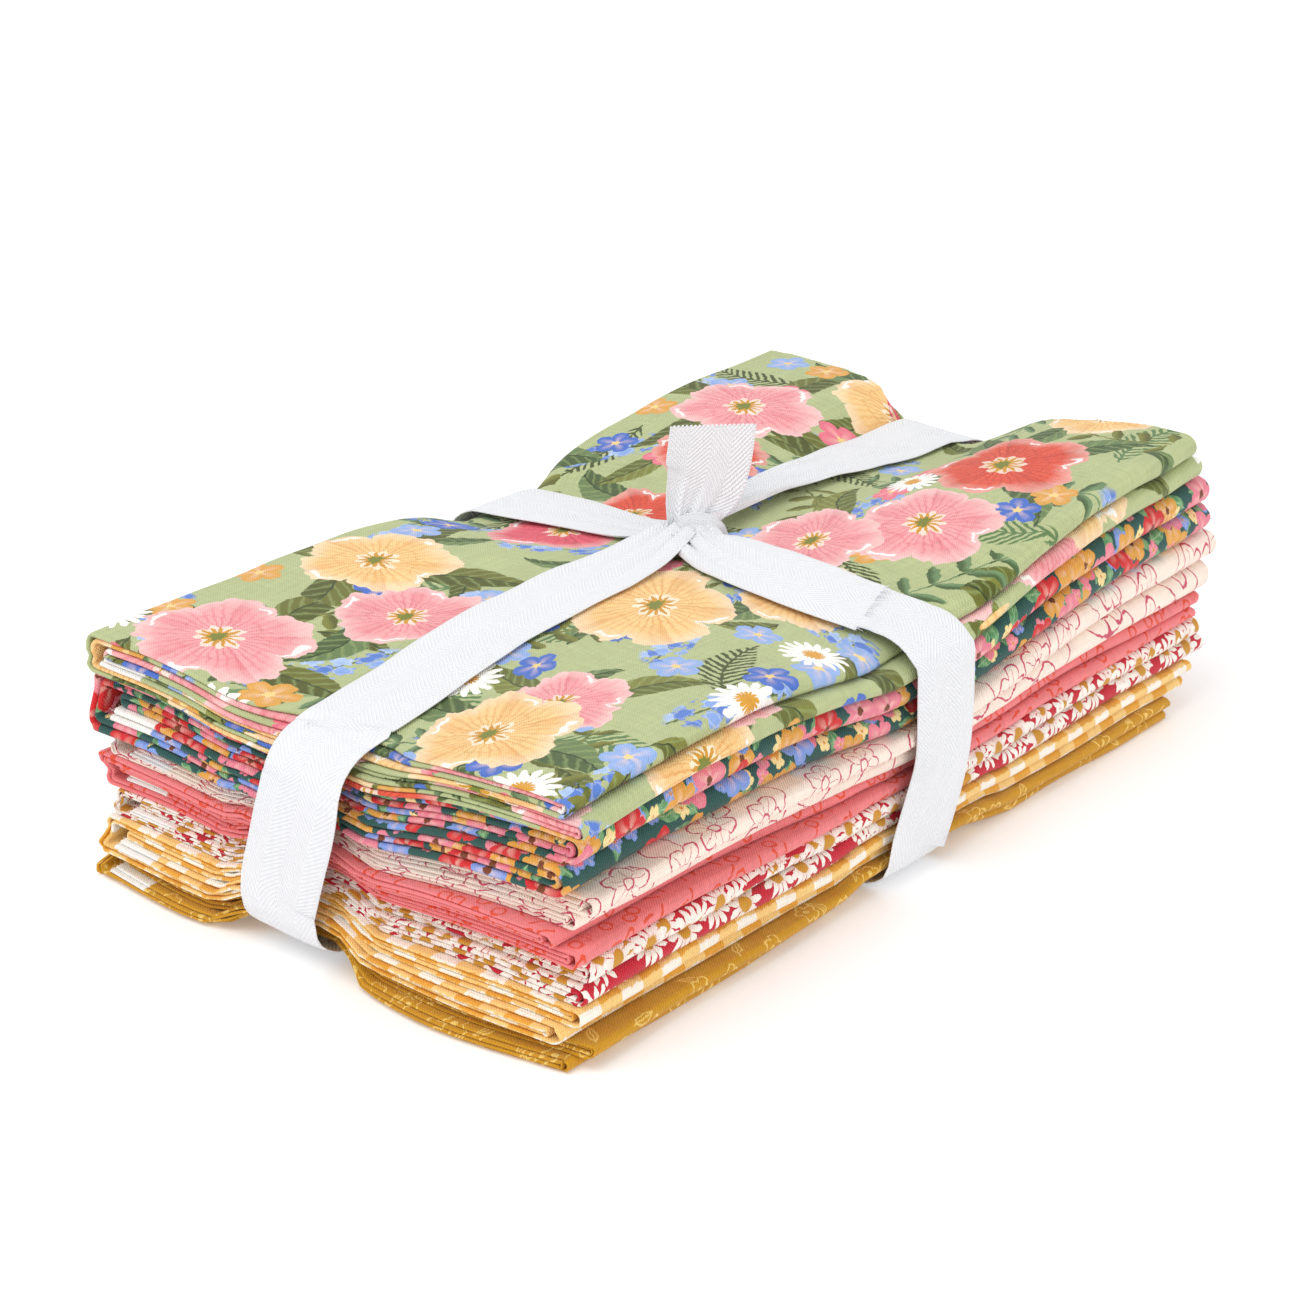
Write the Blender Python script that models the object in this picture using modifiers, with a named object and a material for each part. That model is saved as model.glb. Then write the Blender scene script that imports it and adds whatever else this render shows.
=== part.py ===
"""Seven folded cuts of quilting cotton in a stack, tied both ways with one ribbon.

Metres, +Z up.  +X runs along the long side of the stack, -Y is the near long
face, and the stack rests on z = 0 with its origin at the middle of its foot.
Every cut is one strip, folded like a book: its spine is on the far side and
two rounded folds lie one above the other on the near side.
"""
import bisect
import math

import bmesh
import bpy
from mathutils import Vector

for old in list(bpy.data.objects):
    bpy.data.objects.remove(old, do_unlink=True)

MM = 0.001

# Height of the stack's top at its four corners, in mm.
TOP_NEAR_LEFT = 60.0
TOP_NEAR_RIGHT = 73.6
TOP_FAR_LEFT = 60.6
TOP_FAR_RIGHT = 69.0
HALF_LENGTH = 118.0
HALF_WIDTH = 67.0

# The seven cuts from the lowest up, in mm.
# thick_left and thick_right: height of the folded cut at its two ends.
# give: share of the ribbon's squeeze that the cut takes.
# near_up, near_low: how far its upper and lower near folds reach at the left.
# near_end: how far both reach at the right end.  far: reach of its spine.
# left_up, left_low, right_up, right_low: reach of its two halves along X.
# askew: how much further its right end reaches at the far side.
# bulge: how much further its left end reaches on both sides of the ribbon.
CUT_COLUMNS = (
    "name", "thick_left", "thick_right", "give", "near_up", "near_low", "near_end", "far",
    "left_up", "left_low", "right_up", "right_low", "askew", "bulge",
    "color",
)
CUT_TABLE = (
    ("cut_mustard_sprig", 5.6, 6.0, 0.3, 71.5, 68.0, 69.0, 72.0,
     115.5, 120.0, 112.0, 110.5, 2.0, 4.5, (0.62, 0.36, 0.03)),
    ("cut_yellow_gingham", 8.3, 6.8, 1.0, 70.0, 66.5, 68.5, 70.5,
     115.5, 120.0, 122.5, 119.5, 1.0, 1.0, (0.90, 0.66, 0.28)),
    ("cut_red_daisy", 9.7, 10.3, 1.0, 70.5, 70.0, 68.0, 68.5,
     113.5, 114.5, 126.5, 129.5, 0.0, 0.0, (0.62, 0.03, 0.05)),
    ("cut_coral_line", 7.1, 7.2, 0.7, 65.0, 70.0, 67.5, 71.5,
     120.5, 115.0, 125.5, 124.5, 0.0, 0.0, (0.80, 0.20, 0.21)),
    ("cut_cream_line", 7.4, 14.4, 1.0, 72.0, 68.0, 69.0, 67.5,
     112.5, 116.0, 130.5, 128.5, -2.0, 0.0, (0.86, 0.66, 0.55)),
    ("cut_teal_floral", 13.9, 16.4, 1.0, 69.5, 67.5, 68.0, 72.5,
     115.5, 117.5, 126.5, 127.5, 1.0, 0.0, (0.04, 0.15, 0.13)),
    ("cut_sage_floral", 8.0, 12.2, 1.0, 67.5, 72.0, 67.0, 72.0,
     118.5, 114.0, 120.0, 123.5, 7.5, 0.0, (0.45, 0.56, 0.25)),
)

LAYERS = 4
LAYER_SHARE = 0.76
CROSS_SECTIONS = (-96.0, -62.0, -32.0, -18.0, 3.0, 25.0, 39.0, 66.0, 97.0)
LAYER_ROWS = (-58.0, -14.0, -4.0, 9.0, 22.0, 32.0, 57.0)
FOLD_STEPS = 5
FREE_EDGE_SET_BACK = 3.2

# The ribbon, in mm: a band 22 wide, drawn 1 thick.
RIBBON_WIDTH = 22.0
RIBBON_THICK = 1.0
RIBBON_GAP = 0.42
FLAT_HALF = 12.0
SHOULDER_RUN = 13.0
SHOULDER_DROP = 10.0
RIGHT_SHOULDER = 1.3
KNOT_X = 9.0
KNOT_Y = 5.0
LENGTHWISE_LINE = ((-118.0, 1.0), (-60.0, 6.5), (9.0, 7.0), (118.0, 9.0))
LENGTHWISE_FOOT = 9.0
CROSSWISE_LINE = ((-67.0, 5.0), (67.0, 9.5))
CROSSWISE_FOOT = ((-67.0, -4.0), (67.0, 4.0))
BOTTOM_RAISE = 1.75
CROSSING_RAISE = 3.3


def along(table, position):
    """Value of a two-column table at a position, straight between its rows."""
    if position <= table[0][0]:
        return table[0][1]
    for (start, low), (end, high) in zip(table, table[1:]):
        if position <= end:
            return low + (high - low) * (position - start) / (end - start)
    return table[-1][1]


def ease(share):
    """Smooth step from 0 to 1."""
    share = min(1.0, max(0.0, share))
    return share * share * (3.0 - 2.0 * share)


def dip_shape(distance, reach):
    """1 under the ribbon, easing out on both sides of it."""
    away = max(0.0, abs(distance) - FLAT_HALF)
    return 1.0 / (1.0 + (away / reach) ** 2)


def inner_place(x, y):
    """The same place, or the outermost section and row where it lies beyond them."""
    inner_x = min(CROSS_SECTIONS[-1], max(CROSS_SECTIONS[0], x))
    inner_y = min(LAYER_ROWS[-1], max(LAYER_ROWS[0], y))
    return inner_x, inner_y


def top_height(x, y):
    """Height of the stack's top surface with the ribbon drawn tight."""
    to_right = (x + HALF_LENGTH) / (2.0 * HALF_LENGTH)
    x, y = inner_place(x, y)
    to_far = (y + HALF_WIDTH) / (2.0 * HALF_WIDTH)
    near = TOP_NEAR_LEFT + (TOP_NEAR_RIGHT - TOP_NEAR_LEFT) * to_right
    far = TOP_FAR_LEFT + (TOP_FAR_RIGHT - TOP_FAR_LEFT) * to_right
    sag = (1.2 + 1.6 * to_far) * (1.0 - min(1.0, abs(x) / HALF_LENGTH) ** 2)
    plain = near + (far - near) * to_far - sag
    edge_depth = 10.8 if y < 0.0 else 7.2
    cross_depth = 4.0 + (edge_depth - 4.0) * min(1.0, abs(y) / 56.0) ** 2
    cross_reach = 26.0 - 12.0 * to_far
    cross = cross_depth * dip_shape(x - along(CROSSWISE_LINE, y), cross_reach)
    end_depth = 9.5 if x < 0.0 else 13.5
    long_depth = 4.0 + (end_depth - 4.0) * min(1.0, abs(x) / 96.0) ** 2
    long_reach = 24.0 if x < 0.0 else 24.0 - 17.0 * min(1.0, x / 96.0)
    length = long_depth * dip_shape(y - along(LENGTHWISE_LINE, x), long_reach)
    return plain - math.hypot(cross, length)


def foot_height(x, y):
    """Height of the stack's underside: flat, but lifted over the ribbon."""
    x, y = inner_place(x, y)
    off_length = max(0.0, abs(y - LENGTHWISE_FOOT) - 13.0)
    off_cross = max(0.0, abs(x - 3.5) - 21.5)
    left_pull = 3.0 * ease((-x - 66.0) / 30.0)
    right_pull = 0.8 * ease((x - 70.0) / 30.0)
    length = (BOTTOM_RAISE + left_pull + right_pull) * (1.0 - ease(off_length / 10.0))
    cross = BOTTOM_RAISE * (1.0 - ease(off_cross / 12.0))
    both = (1.0 - ease(off_length / 10.0)) * (1.0 - ease(off_cross / 12.0))
    return max(length, cross) + (CROSSING_RAISE - BOTTOM_RAISE) * both


def drawn(surface, x, y):
    """A surface's height as the solids draw it, in flat triangles between rows."""
    edges_x = (-140.0,) + CROSS_SECTIONS + (140.0,)
    edges_y = (-80.0,) + LAYER_ROWS + (80.0,)
    column = max(0, bisect.bisect_right(edges_x, x) - 1)
    line = max(0, bisect.bisect_right(edges_y, y) - 1)
    left, right = edges_x[column], edges_x[column + 1]
    near, far = edges_y[line], edges_y[line + 1]
    share_x = (x - left) / (right - left)
    share_y = (y - near) / (far - near)
    first = surface(left, near)
    last = surface(right, far)
    if share_x >= share_y:
        middle = surface(right, near)
        return first + share_x * (middle - first) + share_y * (last - middle)
    middle = surface(left, far)
    return first + share_y * (middle - first) + share_x * (last - middle)


def highest(x, y, step_x, step_y):
    """Highest of the drawn top across the ribbon's width at one place."""
    return max(drawn(top_height, x + share * step_x, y + share * step_y)
               for share in (-1.0, -0.5, 0.0, 0.5, 1.0))


def cut_levels(x, y):
    """Heights of the boundaries between the cuts at one place of the stack."""
    to_right = (x + HALF_LENGTH) / (2.0 * HALF_LENGTH)
    plain = []
    for cut in CUTS:
        plain.append(cut["thick_left"] + (cut["thick_right"] - cut["thick_left"]) * to_right)
    room = top_height(x, y) - foot_height(x, y)
    yielding = sum(thick * cut["give"] for thick, cut in zip(plain, CUTS))
    squeeze = (sum(plain) - room) / yielding
    levels = [foot_height(x, y)]
    for thick, cut in zip(plain, CUTS):
        levels.append(levels[-1] + thick * (1.0 - cut["give"] * squeeze))
    return levels


def face_center(y, height):
    """Middle of the crosswise ribbon on a long face, which it runs down at a lean."""
    share = min(1.0, max(0.0, (height - 8.0) / 22.0))
    foot = along(CROSSWISE_FOOT, y)
    return foot + (along(CROSSWISE_LINE, y) - foot) * share


def end_center(x, height):
    """Middle of the lengthwise ribbon on a short end."""
    share = min(1.0, max(0.0, (height - 12.0) / 28.0))
    return LENGTHWISE_FOOT + (along(LENGTHWISE_LINE, x) - LENGTHWISE_FOOT) * share


def shoulder(drop, run, tall):
    """How far a round corner of the ribbon holds the cloth in, at a drop below it."""
    if drop >= tall:
        return 0.0
    share = 1.0 - max(0.0, drop) / tall
    return run * (1.0 - math.sqrt(1.0 - share * share))


def held_in(x, y, height, distance, reach, size=1.0):
    """Shift of an edge of cloth under the ribbon, at the top and at the foot."""
    drop = top_height(x, y) - height
    below_top = shoulder(drop, size * SHOULDER_RUN, size * SHOULDER_DROP)
    above_foot = shoulder(height - foot_height(x, y), 7.8, 6.2)
    return max(below_top, above_foot) * dip_shape(distance, reach)


def strip_path(cut):
    """The strip's middle line as rows of (kind, y, level, turn).

    Level counts layers from the cut's lowest (0) to its top (3).
    """
    rows = []
    inward = list(reversed(LAYER_ROWS))
    outward = list(LAYER_ROWS)
    rows.append(("free", None, 1, None))
    rows += [("layer", y, 1, None) for y in inward]
    rows += [("fold", "low", 1, step) for step in range(FOLD_STEPS + 1)]
    rows += [("layer", y, 0, None) for y in outward]
    rows += [("spine_low", None, 0, step) for step in range(3)]
    rows += [("spine_high", None, 3, step) for step in range(3)]
    rows += [("layer", y, 3, None) for y in inward]
    rows += [("fold", "up", 3, step) for step in range(FOLD_STEPS + 1)]
    rows += [("layer", y, 2, None) for y in outward]
    rows.append(("free", None, 2, None))
    return rows


def strip_point(cut, row, side, x):
    """Place of one point of the strip's section: side is -1 inside, +1 outside."""
    kind, place, level, step = row
    to_right = min(1.0, max(0.0, (x + HALF_LENGTH) / (2.0 * HALF_LENGTH)))
    probe = place if kind == "layer" else (HALF_WIDTH if kind != "fold" else -HALF_WIDTH)
    levels = cut_levels(x, probe)
    base = levels[cut["index"]]
    height = levels[cut["index"] + 1] - base
    pitch = height / LAYERS
    half = 0.5 * LAYER_SHARE * pitch
    center = base + (level + 0.5) * pitch
    outward = {0: -1.0, 1: 1.0, 2: -1.0, 3: 1.0}[level]
    if kind in ("layer", "free"):
        z = center + side * outward * half
        if cut["index"] == 0 and level == 0 and side > 0.0:
            z = base
        y = place if kind == "layer" else cut["far"] - FREE_EDGE_SET_BACK
        return y, z
    if kind == "fold":
        reach = cut["near_low"] if place == "low" else cut["near_up"]
        reach = reach + (cut["near_end"] - reach) * to_right
        radius = 0.5 * pitch
        middle = base + (1.0 if place == "low" else 3.0) * pitch
        turn = 0.5 * math.pi + math.pi * step / FOLD_STEPS
        across = radius + side * half
        y = -reach + radius + half + across * math.cos(turn)
        z = middle + across * math.sin(turn)
        off = x - face_center(-HALF_WIDTH, z)
        return y + held_in(x, -HALF_WIDTH, z, off, 10.0), z
    bend = 2.4 * half
    across = bend + side * half
    turn = 0.25 * math.pi * step
    if kind == "spine_low":
        z_mid = base + 0.5 * pitch + bend
        y = cut["far"] - half - bend + across * math.sin(turn)
        z = z_mid - across * math.cos(turn)
    else:
        turn = 0.5 * math.pi - turn
        z_mid = base + 3.5 * pitch - bend
        y = cut["far"] - half - bend + across * math.sin(turn)
        z = z_mid + across * math.cos(turn)
    off = x - face_center(HALF_WIDTH, z)
    return y - held_in(x, HALF_WIDTH, z, off, 10.0), z


def end_place(cut, row, y, z, x):
    """Where a section's point sits along X: the two end sections are uneven."""
    kind, place, level, step = row
    upper = {0: 0.0, 1: 0.0, 2: 1.0, 3: 1.0}[level]
    if kind == "spine_low":
        upper = 0.2 * step
    if kind == "spine_high":
        upper = 0.6 + 0.2 * step
    if x == "left":
        reach = cut["left_low"] + (cut["left_up"] - cut["left_low"]) * upper
        off = y - end_center(-HALF_LENGTH, z)
        out = 1.0 - min(1.0, abs(y) / HALF_WIDTH) ** 3
        reach += cut["bulge"] * out * (1.0 - dip_shape(off, 5.0))
        return -reach + held_in(-HALF_LENGTH, y, z, off, 12.0)
    reach = cut["right_low"] + (cut["right_up"] - cut["right_low"]) * upper
    reach += cut["askew"] * 0.5 * (1.0 + y / HALF_WIDTH)
    off = y - end_center(HALF_LENGTH, z)
    return reach - held_in(HALF_LENGTH, y, z, off, 12.0, RIGHT_SHOULDER)


def strip_object(cut):
    """One folded cut, lofted through its sections from end to end."""
    rows = strip_path(cut)
    mesh = bmesh.new()
    rings = []
    for station in ("left",) + CROSS_SECTIONS + ("right",):
        ring = []
        for side in (1.0, -1.0):
            ordered = rows if side > 0.0 else list(reversed(rows))
            for row in ordered:
                x = station
                if station == "left":
                    x = -HALF_LENGTH
                if station == "right":
                    x = 0.5 * (cut["right_low"] + cut["right_up"])
                y, z = strip_point(cut, row, side, x)
                if station in ("left", "right"):
                    x = end_place(cut, row, y, z, station)
                    y, z = strip_point(cut, row, side, x)
                ring.append(mesh.verts.new((x * MM, y * MM, z * MM)))
        rings.append(ring)
    count = len(rings[0])
    for ring, following in zip(rings, rings[1:]):
        for index in range(count):
            after = (index + 1) % count
            if ring[index].co.y < ring[after].co.y:
                mesh.faces.new((ring[index], ring[after], following[after]))
                mesh.faces.new((ring[index], following[after], following[index]))
            else:
                mesh.faces.new((ring[index], ring[after], following[index]))
                mesh.faces.new((ring[after], following[after], following[index]))
    for ring in (rings[0], rings[-1]):
        for index in range(count // 2 - 1):
            mesh.faces.new((ring[index], ring[index + 1],
                            ring[count - 2 - index], ring[count - 1 - index]))
    bmesh.ops.recalc_face_normals(mesh, faces=mesh.faces)
    data = bpy.data.meshes.new(cut["name"])
    mesh.to_mesh(data)
    mesh.free()
    made = bpy.data.objects.new(cut["name"], data)
    collection.objects.link(made)
    made.data.materials.append(plain_material(cut["name"], cut["color"], 0.9))
    return made


def plain_material(name, color, roughness):
    """A Principled material of one colour."""
    material = bpy.data.materials.new(name)
    material.use_nodes = True
    shader = material.node_tree.nodes["Principled BSDF"]
    shader.inputs["Base Color"].default_value = (*color, 1.0)
    shader.inputs["Roughness"].default_value = roughness
    return material


def gathered_width(distance):
    """Ribbon width at a distance from the knot: the strands gather into it."""
    return 10.0 + (RIBBON_WIDTH - 10.0) * ease((distance - 6.0) / 24.0)


def corner(center_a, center_b, run, drop, first, last, steps):
    """Points of a rounded corner between two angles."""
    points = []
    for step in range(steps + 1):
        turn = math.radians(first + (last - first) * step / steps)
        points.append((center_a + run * math.cos(turn), center_b + drop * math.sin(turn)))
    return points


def lengthwise_rows():
    """Rows (x, y, z, width) round the bundle: top, right end, foot, left end."""
    off = RIBBON_GAP + 0.5 * RIBBON_THICK
    left_face = -max(max(cut["left_up"], cut["left_low"]) for cut in CUTS) - off
    right_face = max(max(cut["right_up"], cut["right_low"]) for cut in CUTS) + off
    rows = []
    for x in (-104.0, -84.0, -64.0, -44.0, -30.0, -18.0, -8.0, 0.0, KNOT_X, 18.0, 26.0, 36.0,
              48.0, 64.0, 84.0, 104.0):
        y = along(LENGTHWISE_LINE, x)
        high = highest(x, y, 0.0, 0.5 * gathered_width(abs(x - KNOT_X)))
        rows.append((x, y, high + off, gathered_width(abs(x - KNOT_X))))
    foot = 0.8
    for face, sign, size in ((right_face, 1.0, RIGHT_SHOULDER), (left_face, -1.0, 1.0)):
        y_top = along(LENGTHWISE_LINE, sign * HALF_LENGTH)
        y_foot = LENGTHWISE_FOOT
        run = size * SHOULDER_RUN
        drop = size * (SHOULDER_DROP + 1.0)
        top = highest(face - sign * run, y_top, 0.0, 11.0) + off
        lift = 3.4 if sign < 0.0 else 1.2
        upper = corner(face - sign * run, top - drop, sign * run, drop, 90.0, 0.0, 6)
        lower = corner(face - sign * 10.0, 8.0 + lift, sign * 10.0, 8.0, 0.0, -90.0, 5)
        turn = [(x, y_top, z) for x, z in upper]
        turn += [(face, end_center(sign * HALF_LENGTH, 28.0), 28.0)]
        turn += [(x, y_foot, z) for x, z in lower]
        turn = [(x, y, z, RIBBON_WIDTH) for x, y, z in turn]
        if sign > 0.0:
            rows += turn
            for x in (88.0, 70.0, 40.0, 10.0, -20.0, -50.0, -70.0, -88.0):
                rows.append((x, LENGTHWISE_FOOT, foot, RIBBON_WIDTH))
        else:
            rows += list(reversed(turn))
    return rows


def crosswise_rows():
    """Rows (x, y, z, width) round the bundle: top, far side, foot, near side."""
    off = RIBBON_GAP + 0.5 * RIBBON_THICK
    near_face = 0.0
    for cut in CUTS:
        for reach in (cut["near_up"], cut["near_low"]):
            near_face = max(near_face, 0.5 * (reach + cut["near_end"]))
    near_face = -near_face - off - 0.3
    far_face = max(cut["far"] for cut in CUTS) + off
    rows = []
    for y in (-54.0, -42.0, -30.0, -20.0, -12.0, -4.0, KNOT_Y, 14.0, 22.0, 31.0, 42.0, 54.0):
        x = along(CROSSWISE_LINE, y)
        high = highest(x, y, 0.5 * gathered_width(abs(y - KNOT_Y)), 0.0)
        rows.append((x, y, high + off + 0.35, gathered_width(abs(y - KNOT_Y))))
    for face, sign in ((far_face, 1.0), (near_face, -1.0)):
        x_top = along(CROSSWISE_LINE, sign * HALF_WIDTH)
        x_foot = along(CROSSWISE_FOOT, sign * HALF_WIDTH)
        top = highest(x_top, sign * HALF_WIDTH, 11.0, 0.0) + off
        upper = corner(face - sign * 12.0, top - 10.0, sign * 12.0, 10.0, 90.0, 0.0, 5)
        lower = corner(face - sign * 9.0, 7.8, sign * 9.0, 7.0, 0.0, -90.0, 5)
        turn = [(x_top, y, z) for y, z in upper]
        turn += [(x_top + 0.1 * (x_foot - x_top), face, 0.46 * top)]
        turn += [(x_foot, y, z) for y, z in lower]
        turn = [(x, y, z, RIBBON_WIDTH) for x, y, z in turn]
        if sign > 0.0:
            rows += turn
            for y in (50.0, 38.0, 29.5, 25.0, 20.5, 9.0, -2.5, -7.0, -11.5, -20.0, -32.0, -46.0):
                over = 1.0 - ease((abs(y - LENGTHWISE_FOOT) - 12.0) / 8.5)
                z = 0.8 + 1.45 * over
                rows.append((along(CROSSWISE_FOOT, y), y, z, RIBBON_WIDTH))
        else:
            rows += list(reversed(turn))
    return rows


def band_object(name, rows, across, closed):
    """A ribbon band: a row of points across the path at every step, made solid."""
    mesh = bmesh.new()
    pairs = []
    for x, y, z, width in rows:
        center = Vector((x, y, z))
        reach = Vector(across).normalized() * 0.5 * width
        pairs.append((mesh.verts.new((center - reach) * MM), mesh.verts.new((center + reach) * MM)))
    steps = len(pairs) if closed else len(pairs) - 1
    for index in range(steps):
        first, second = pairs[index], pairs[(index + 1) % len(pairs)]
        mesh.faces.new((first[0], first[1], second[1], second[0]))
    bmesh.ops.recalc_face_normals(mesh, faces=mesh.faces)
    data = bpy.data.meshes.new(name)
    mesh.to_mesh(data)
    mesh.free()
    made = bpy.data.objects.new(name, data)
    collection.objects.link(made)
    solid = made.modifiers.new("thickness", "SOLIDIFY")
    solid.thickness = RIBBON_THICK * MM
    solid.offset = 0.0
    solid.use_even_offset = True
    return made


def knot_object():
    """The knot: a flattened lump with a wrap lying over it at a slant."""
    top = top_height(KNOT_X, KNOT_Y)
    bpy.ops.mesh.primitive_uv_sphere_add(segments=24, ring_count=14, radius=1.0)
    lump = bpy.context.active_object
    for vertex in lump.data.vertices:
        x, y, z = vertex.co
        slant = math.exp(-((x + 0.55 * y) / 0.42) ** 2)
        swell = 1.0 + 0.16 * slant
        tall = 7.0 * swell if z > 0.0 else 4.4
        vertex.co = Vector((11.5 * x * swell, 8.5 * y * swell, tall * z)) * MM
    lump.location = Vector((KNOT_X, KNOT_Y, top + 5.0)) * MM
    for parent in list(lump.users_collection):
        parent.objects.unlink(lump)
    collection.objects.link(lump)
    return lump


def add_to(target, other):
    """Join one closed solid to another."""
    union = target.modifiers.new("join", "BOOLEAN")
    union.operation = "UNION"
    union.solver = "EXACT"
    union.object = other
    bpy.context.view_layer.update()
    depsgraph = bpy.context.evaluated_depsgraph_get()
    joined = bpy.data.meshes.new_from_object(target.evaluated_get(depsgraph))
    target.modifiers.clear()
    target.data = joined
    bpy.data.objects.remove(other, do_unlink=True)


collection = bpy.data.collections.new("tied_fabric_bundle")
bpy.context.scene.collection.children.link(collection)

CUTS = []
for number, values in enumerate(CUT_TABLE):
    entry = dict(zip(CUT_COLUMNS, values))
    entry["index"] = number
    CUTS.append(entry)

for entry in CUTS:
    strip_object(entry)

# One ribbon: the two loops, the knot and the two free ends, joined in a piece.
ribbon = band_object("ribbon", lengthwise_rows(), (0.0, 1.0, 0.0), True)
crossing = band_object("crossing", crosswise_rows(), (1.0, 0.0, 0.0), True)
knot = knot_object()
knot_top = top_height(KNOT_X, KNOT_Y)
STANDING_END = (
    (10.5, 5.0, 4.5, 12.0), (13.5, 4.8, 9.5, 18.0), (16.8, 5.2, 14.0, 21.5),
    (20.2, 6.8, 20.0, 22.0), (22.4, 8.6, 26.0, 22.0),
)
standing_rows = [(x, y, knot_top + rise, wide) for x, y, rise, wide in STANDING_END]
standing = band_object("standing", standing_rows, (0.78, -0.62, 0.1), False)
LYING_END = (
    (9.0, 2.0, 5.0, 11.0), (8.8, -6.0, 5.4, 14.0), (8.2, -15.0, 5.0, 19.0),
    (7.2, -25.0, 4.2, 22.0), (6.2, -37.0, 3.9, 22.0), (5.4, -51.0, 4.2, 22.0),
)
lying_rows = [(x, y, top_height(x, y) + lift, wide) for x, y, lift, wide in LYING_END]
lying = band_object("lying", lying_rows, (0.94, 0.31, 0.13), False)
for piece in (crossing, knot, standing, lying):
    add_to(ribbon, piece)
ribbon.data.materials.clear()
ribbon.data.materials.append(plain_material("ribbon_white", (0.86, 0.86, 0.86), 0.8))
ribbon.name = "ribbon"
ribbon.data.name = "ribbon"

# The origin is set to the middle of the whole object's foot.
pieces = list(collection.objects)
bpy.context.view_layer.update()
corners = [piece.matrix_world @ Vector(spot) for piece in pieces for spot in piece.bound_box]
low = Vector(min(spot[axis] for spot in corners) for axis in range(3))
high = Vector(max(spot[axis] for spot in corners) for axis in range(3))
shift = Vector((-0.5 * (low.x + high.x), -0.5 * (low.y + high.y), -low.z))
for piece in pieces:
    for vertex in piece.data.vertices:
        vertex.co += shift
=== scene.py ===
import math
from collections import namedtuple

import bmesh
import bpy
import numpy as np
from mathutils import Matrix, Vector


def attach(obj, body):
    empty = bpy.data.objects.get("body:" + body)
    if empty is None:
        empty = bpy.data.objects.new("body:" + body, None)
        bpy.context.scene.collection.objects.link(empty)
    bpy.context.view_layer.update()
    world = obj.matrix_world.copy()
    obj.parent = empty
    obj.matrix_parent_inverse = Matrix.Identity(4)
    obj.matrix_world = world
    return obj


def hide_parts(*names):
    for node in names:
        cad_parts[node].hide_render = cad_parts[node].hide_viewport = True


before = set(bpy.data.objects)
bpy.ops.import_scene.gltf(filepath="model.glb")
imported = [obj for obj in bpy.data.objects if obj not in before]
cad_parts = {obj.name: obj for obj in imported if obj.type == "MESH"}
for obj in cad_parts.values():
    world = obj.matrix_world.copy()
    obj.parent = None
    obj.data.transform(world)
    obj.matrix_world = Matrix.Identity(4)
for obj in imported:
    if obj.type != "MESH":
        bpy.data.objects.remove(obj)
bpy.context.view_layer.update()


# The studio: a pale table, a bright white room and two large soft lamps.
# The camera stands a little above the bundle and looks at its near left corner.
WHITE = (1.0, 1.0, 1.0, 1.0)
TABLE_WHITE = (0.93, 0.93, 0.93, 1.0)
TABLE_REACH = 4.0


def surface(name, values):
    """A new material with some of its shader's values, and its tree and shader."""
    material = bpy.data.materials.new(name)
    material.use_nodes = True
    shader = material.node_tree.nodes["Principled BSDF"]
    for label, value in values.items():
        shader.inputs[label].default_value = value
    return material, material.node_tree, shader


table_mesh = bpy.data.meshes.new("table_top")
table_mesh.from_pydata(
    [(-TABLE_REACH, -TABLE_REACH, 0.0), (TABLE_REACH, -TABLE_REACH, 0.0),
     (TABLE_REACH, TABLE_REACH, 0.0), (-TABLE_REACH, TABLE_REACH, 0.0)],
    [], [(0, 1, 2, 3)])
table_top = bpy.data.objects.new("table_top", table_mesh)
bpy.context.scene.collection.objects.link(table_top)
table_paint, _, _ = surface("table_paint", {"Base Color": TABLE_WHITE, "Roughness": 0.85,
                                            "Emission Color": WHITE, "Emission Strength": 0.15})
table_mesh.materials.append(table_paint)

room = bpy.data.worlds.new("white_room")
bpy.context.scene.world = room
room.use_nodes = True
room.node_tree.nodes["Background"].inputs["Color"].default_value = WHITE
room.node_tree.nodes["Background"].inputs["Strength"].default_value = 0.88
bpy.context.scene.view_settings.view_transform = "Standard"


def soft_lamp(name, place, aim, size, power):
    """A large square lamp that shines from a place at a point."""
    lamp = bpy.data.lights.new(name, "AREA")
    lamp.size = size
    lamp.energy = power
    held = bpy.data.objects.new(name, lamp)
    bpy.context.scene.collection.objects.link(held)
    held.location = place
    held.rotation_euler = (Vector(aim) - Vector(place)).to_track_quat("-Z", "Y").to_euler()


soft_lamp("lamp_overhead", (-0.55, 0.15, 1.10), (0.0, 0.0, 0.04), 0.9, 5.0)
soft_lamp("lamp_front", (-0.10, -1.20, 0.55), (0.0, 0.0, 0.03), 0.8, 2.0)

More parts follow.
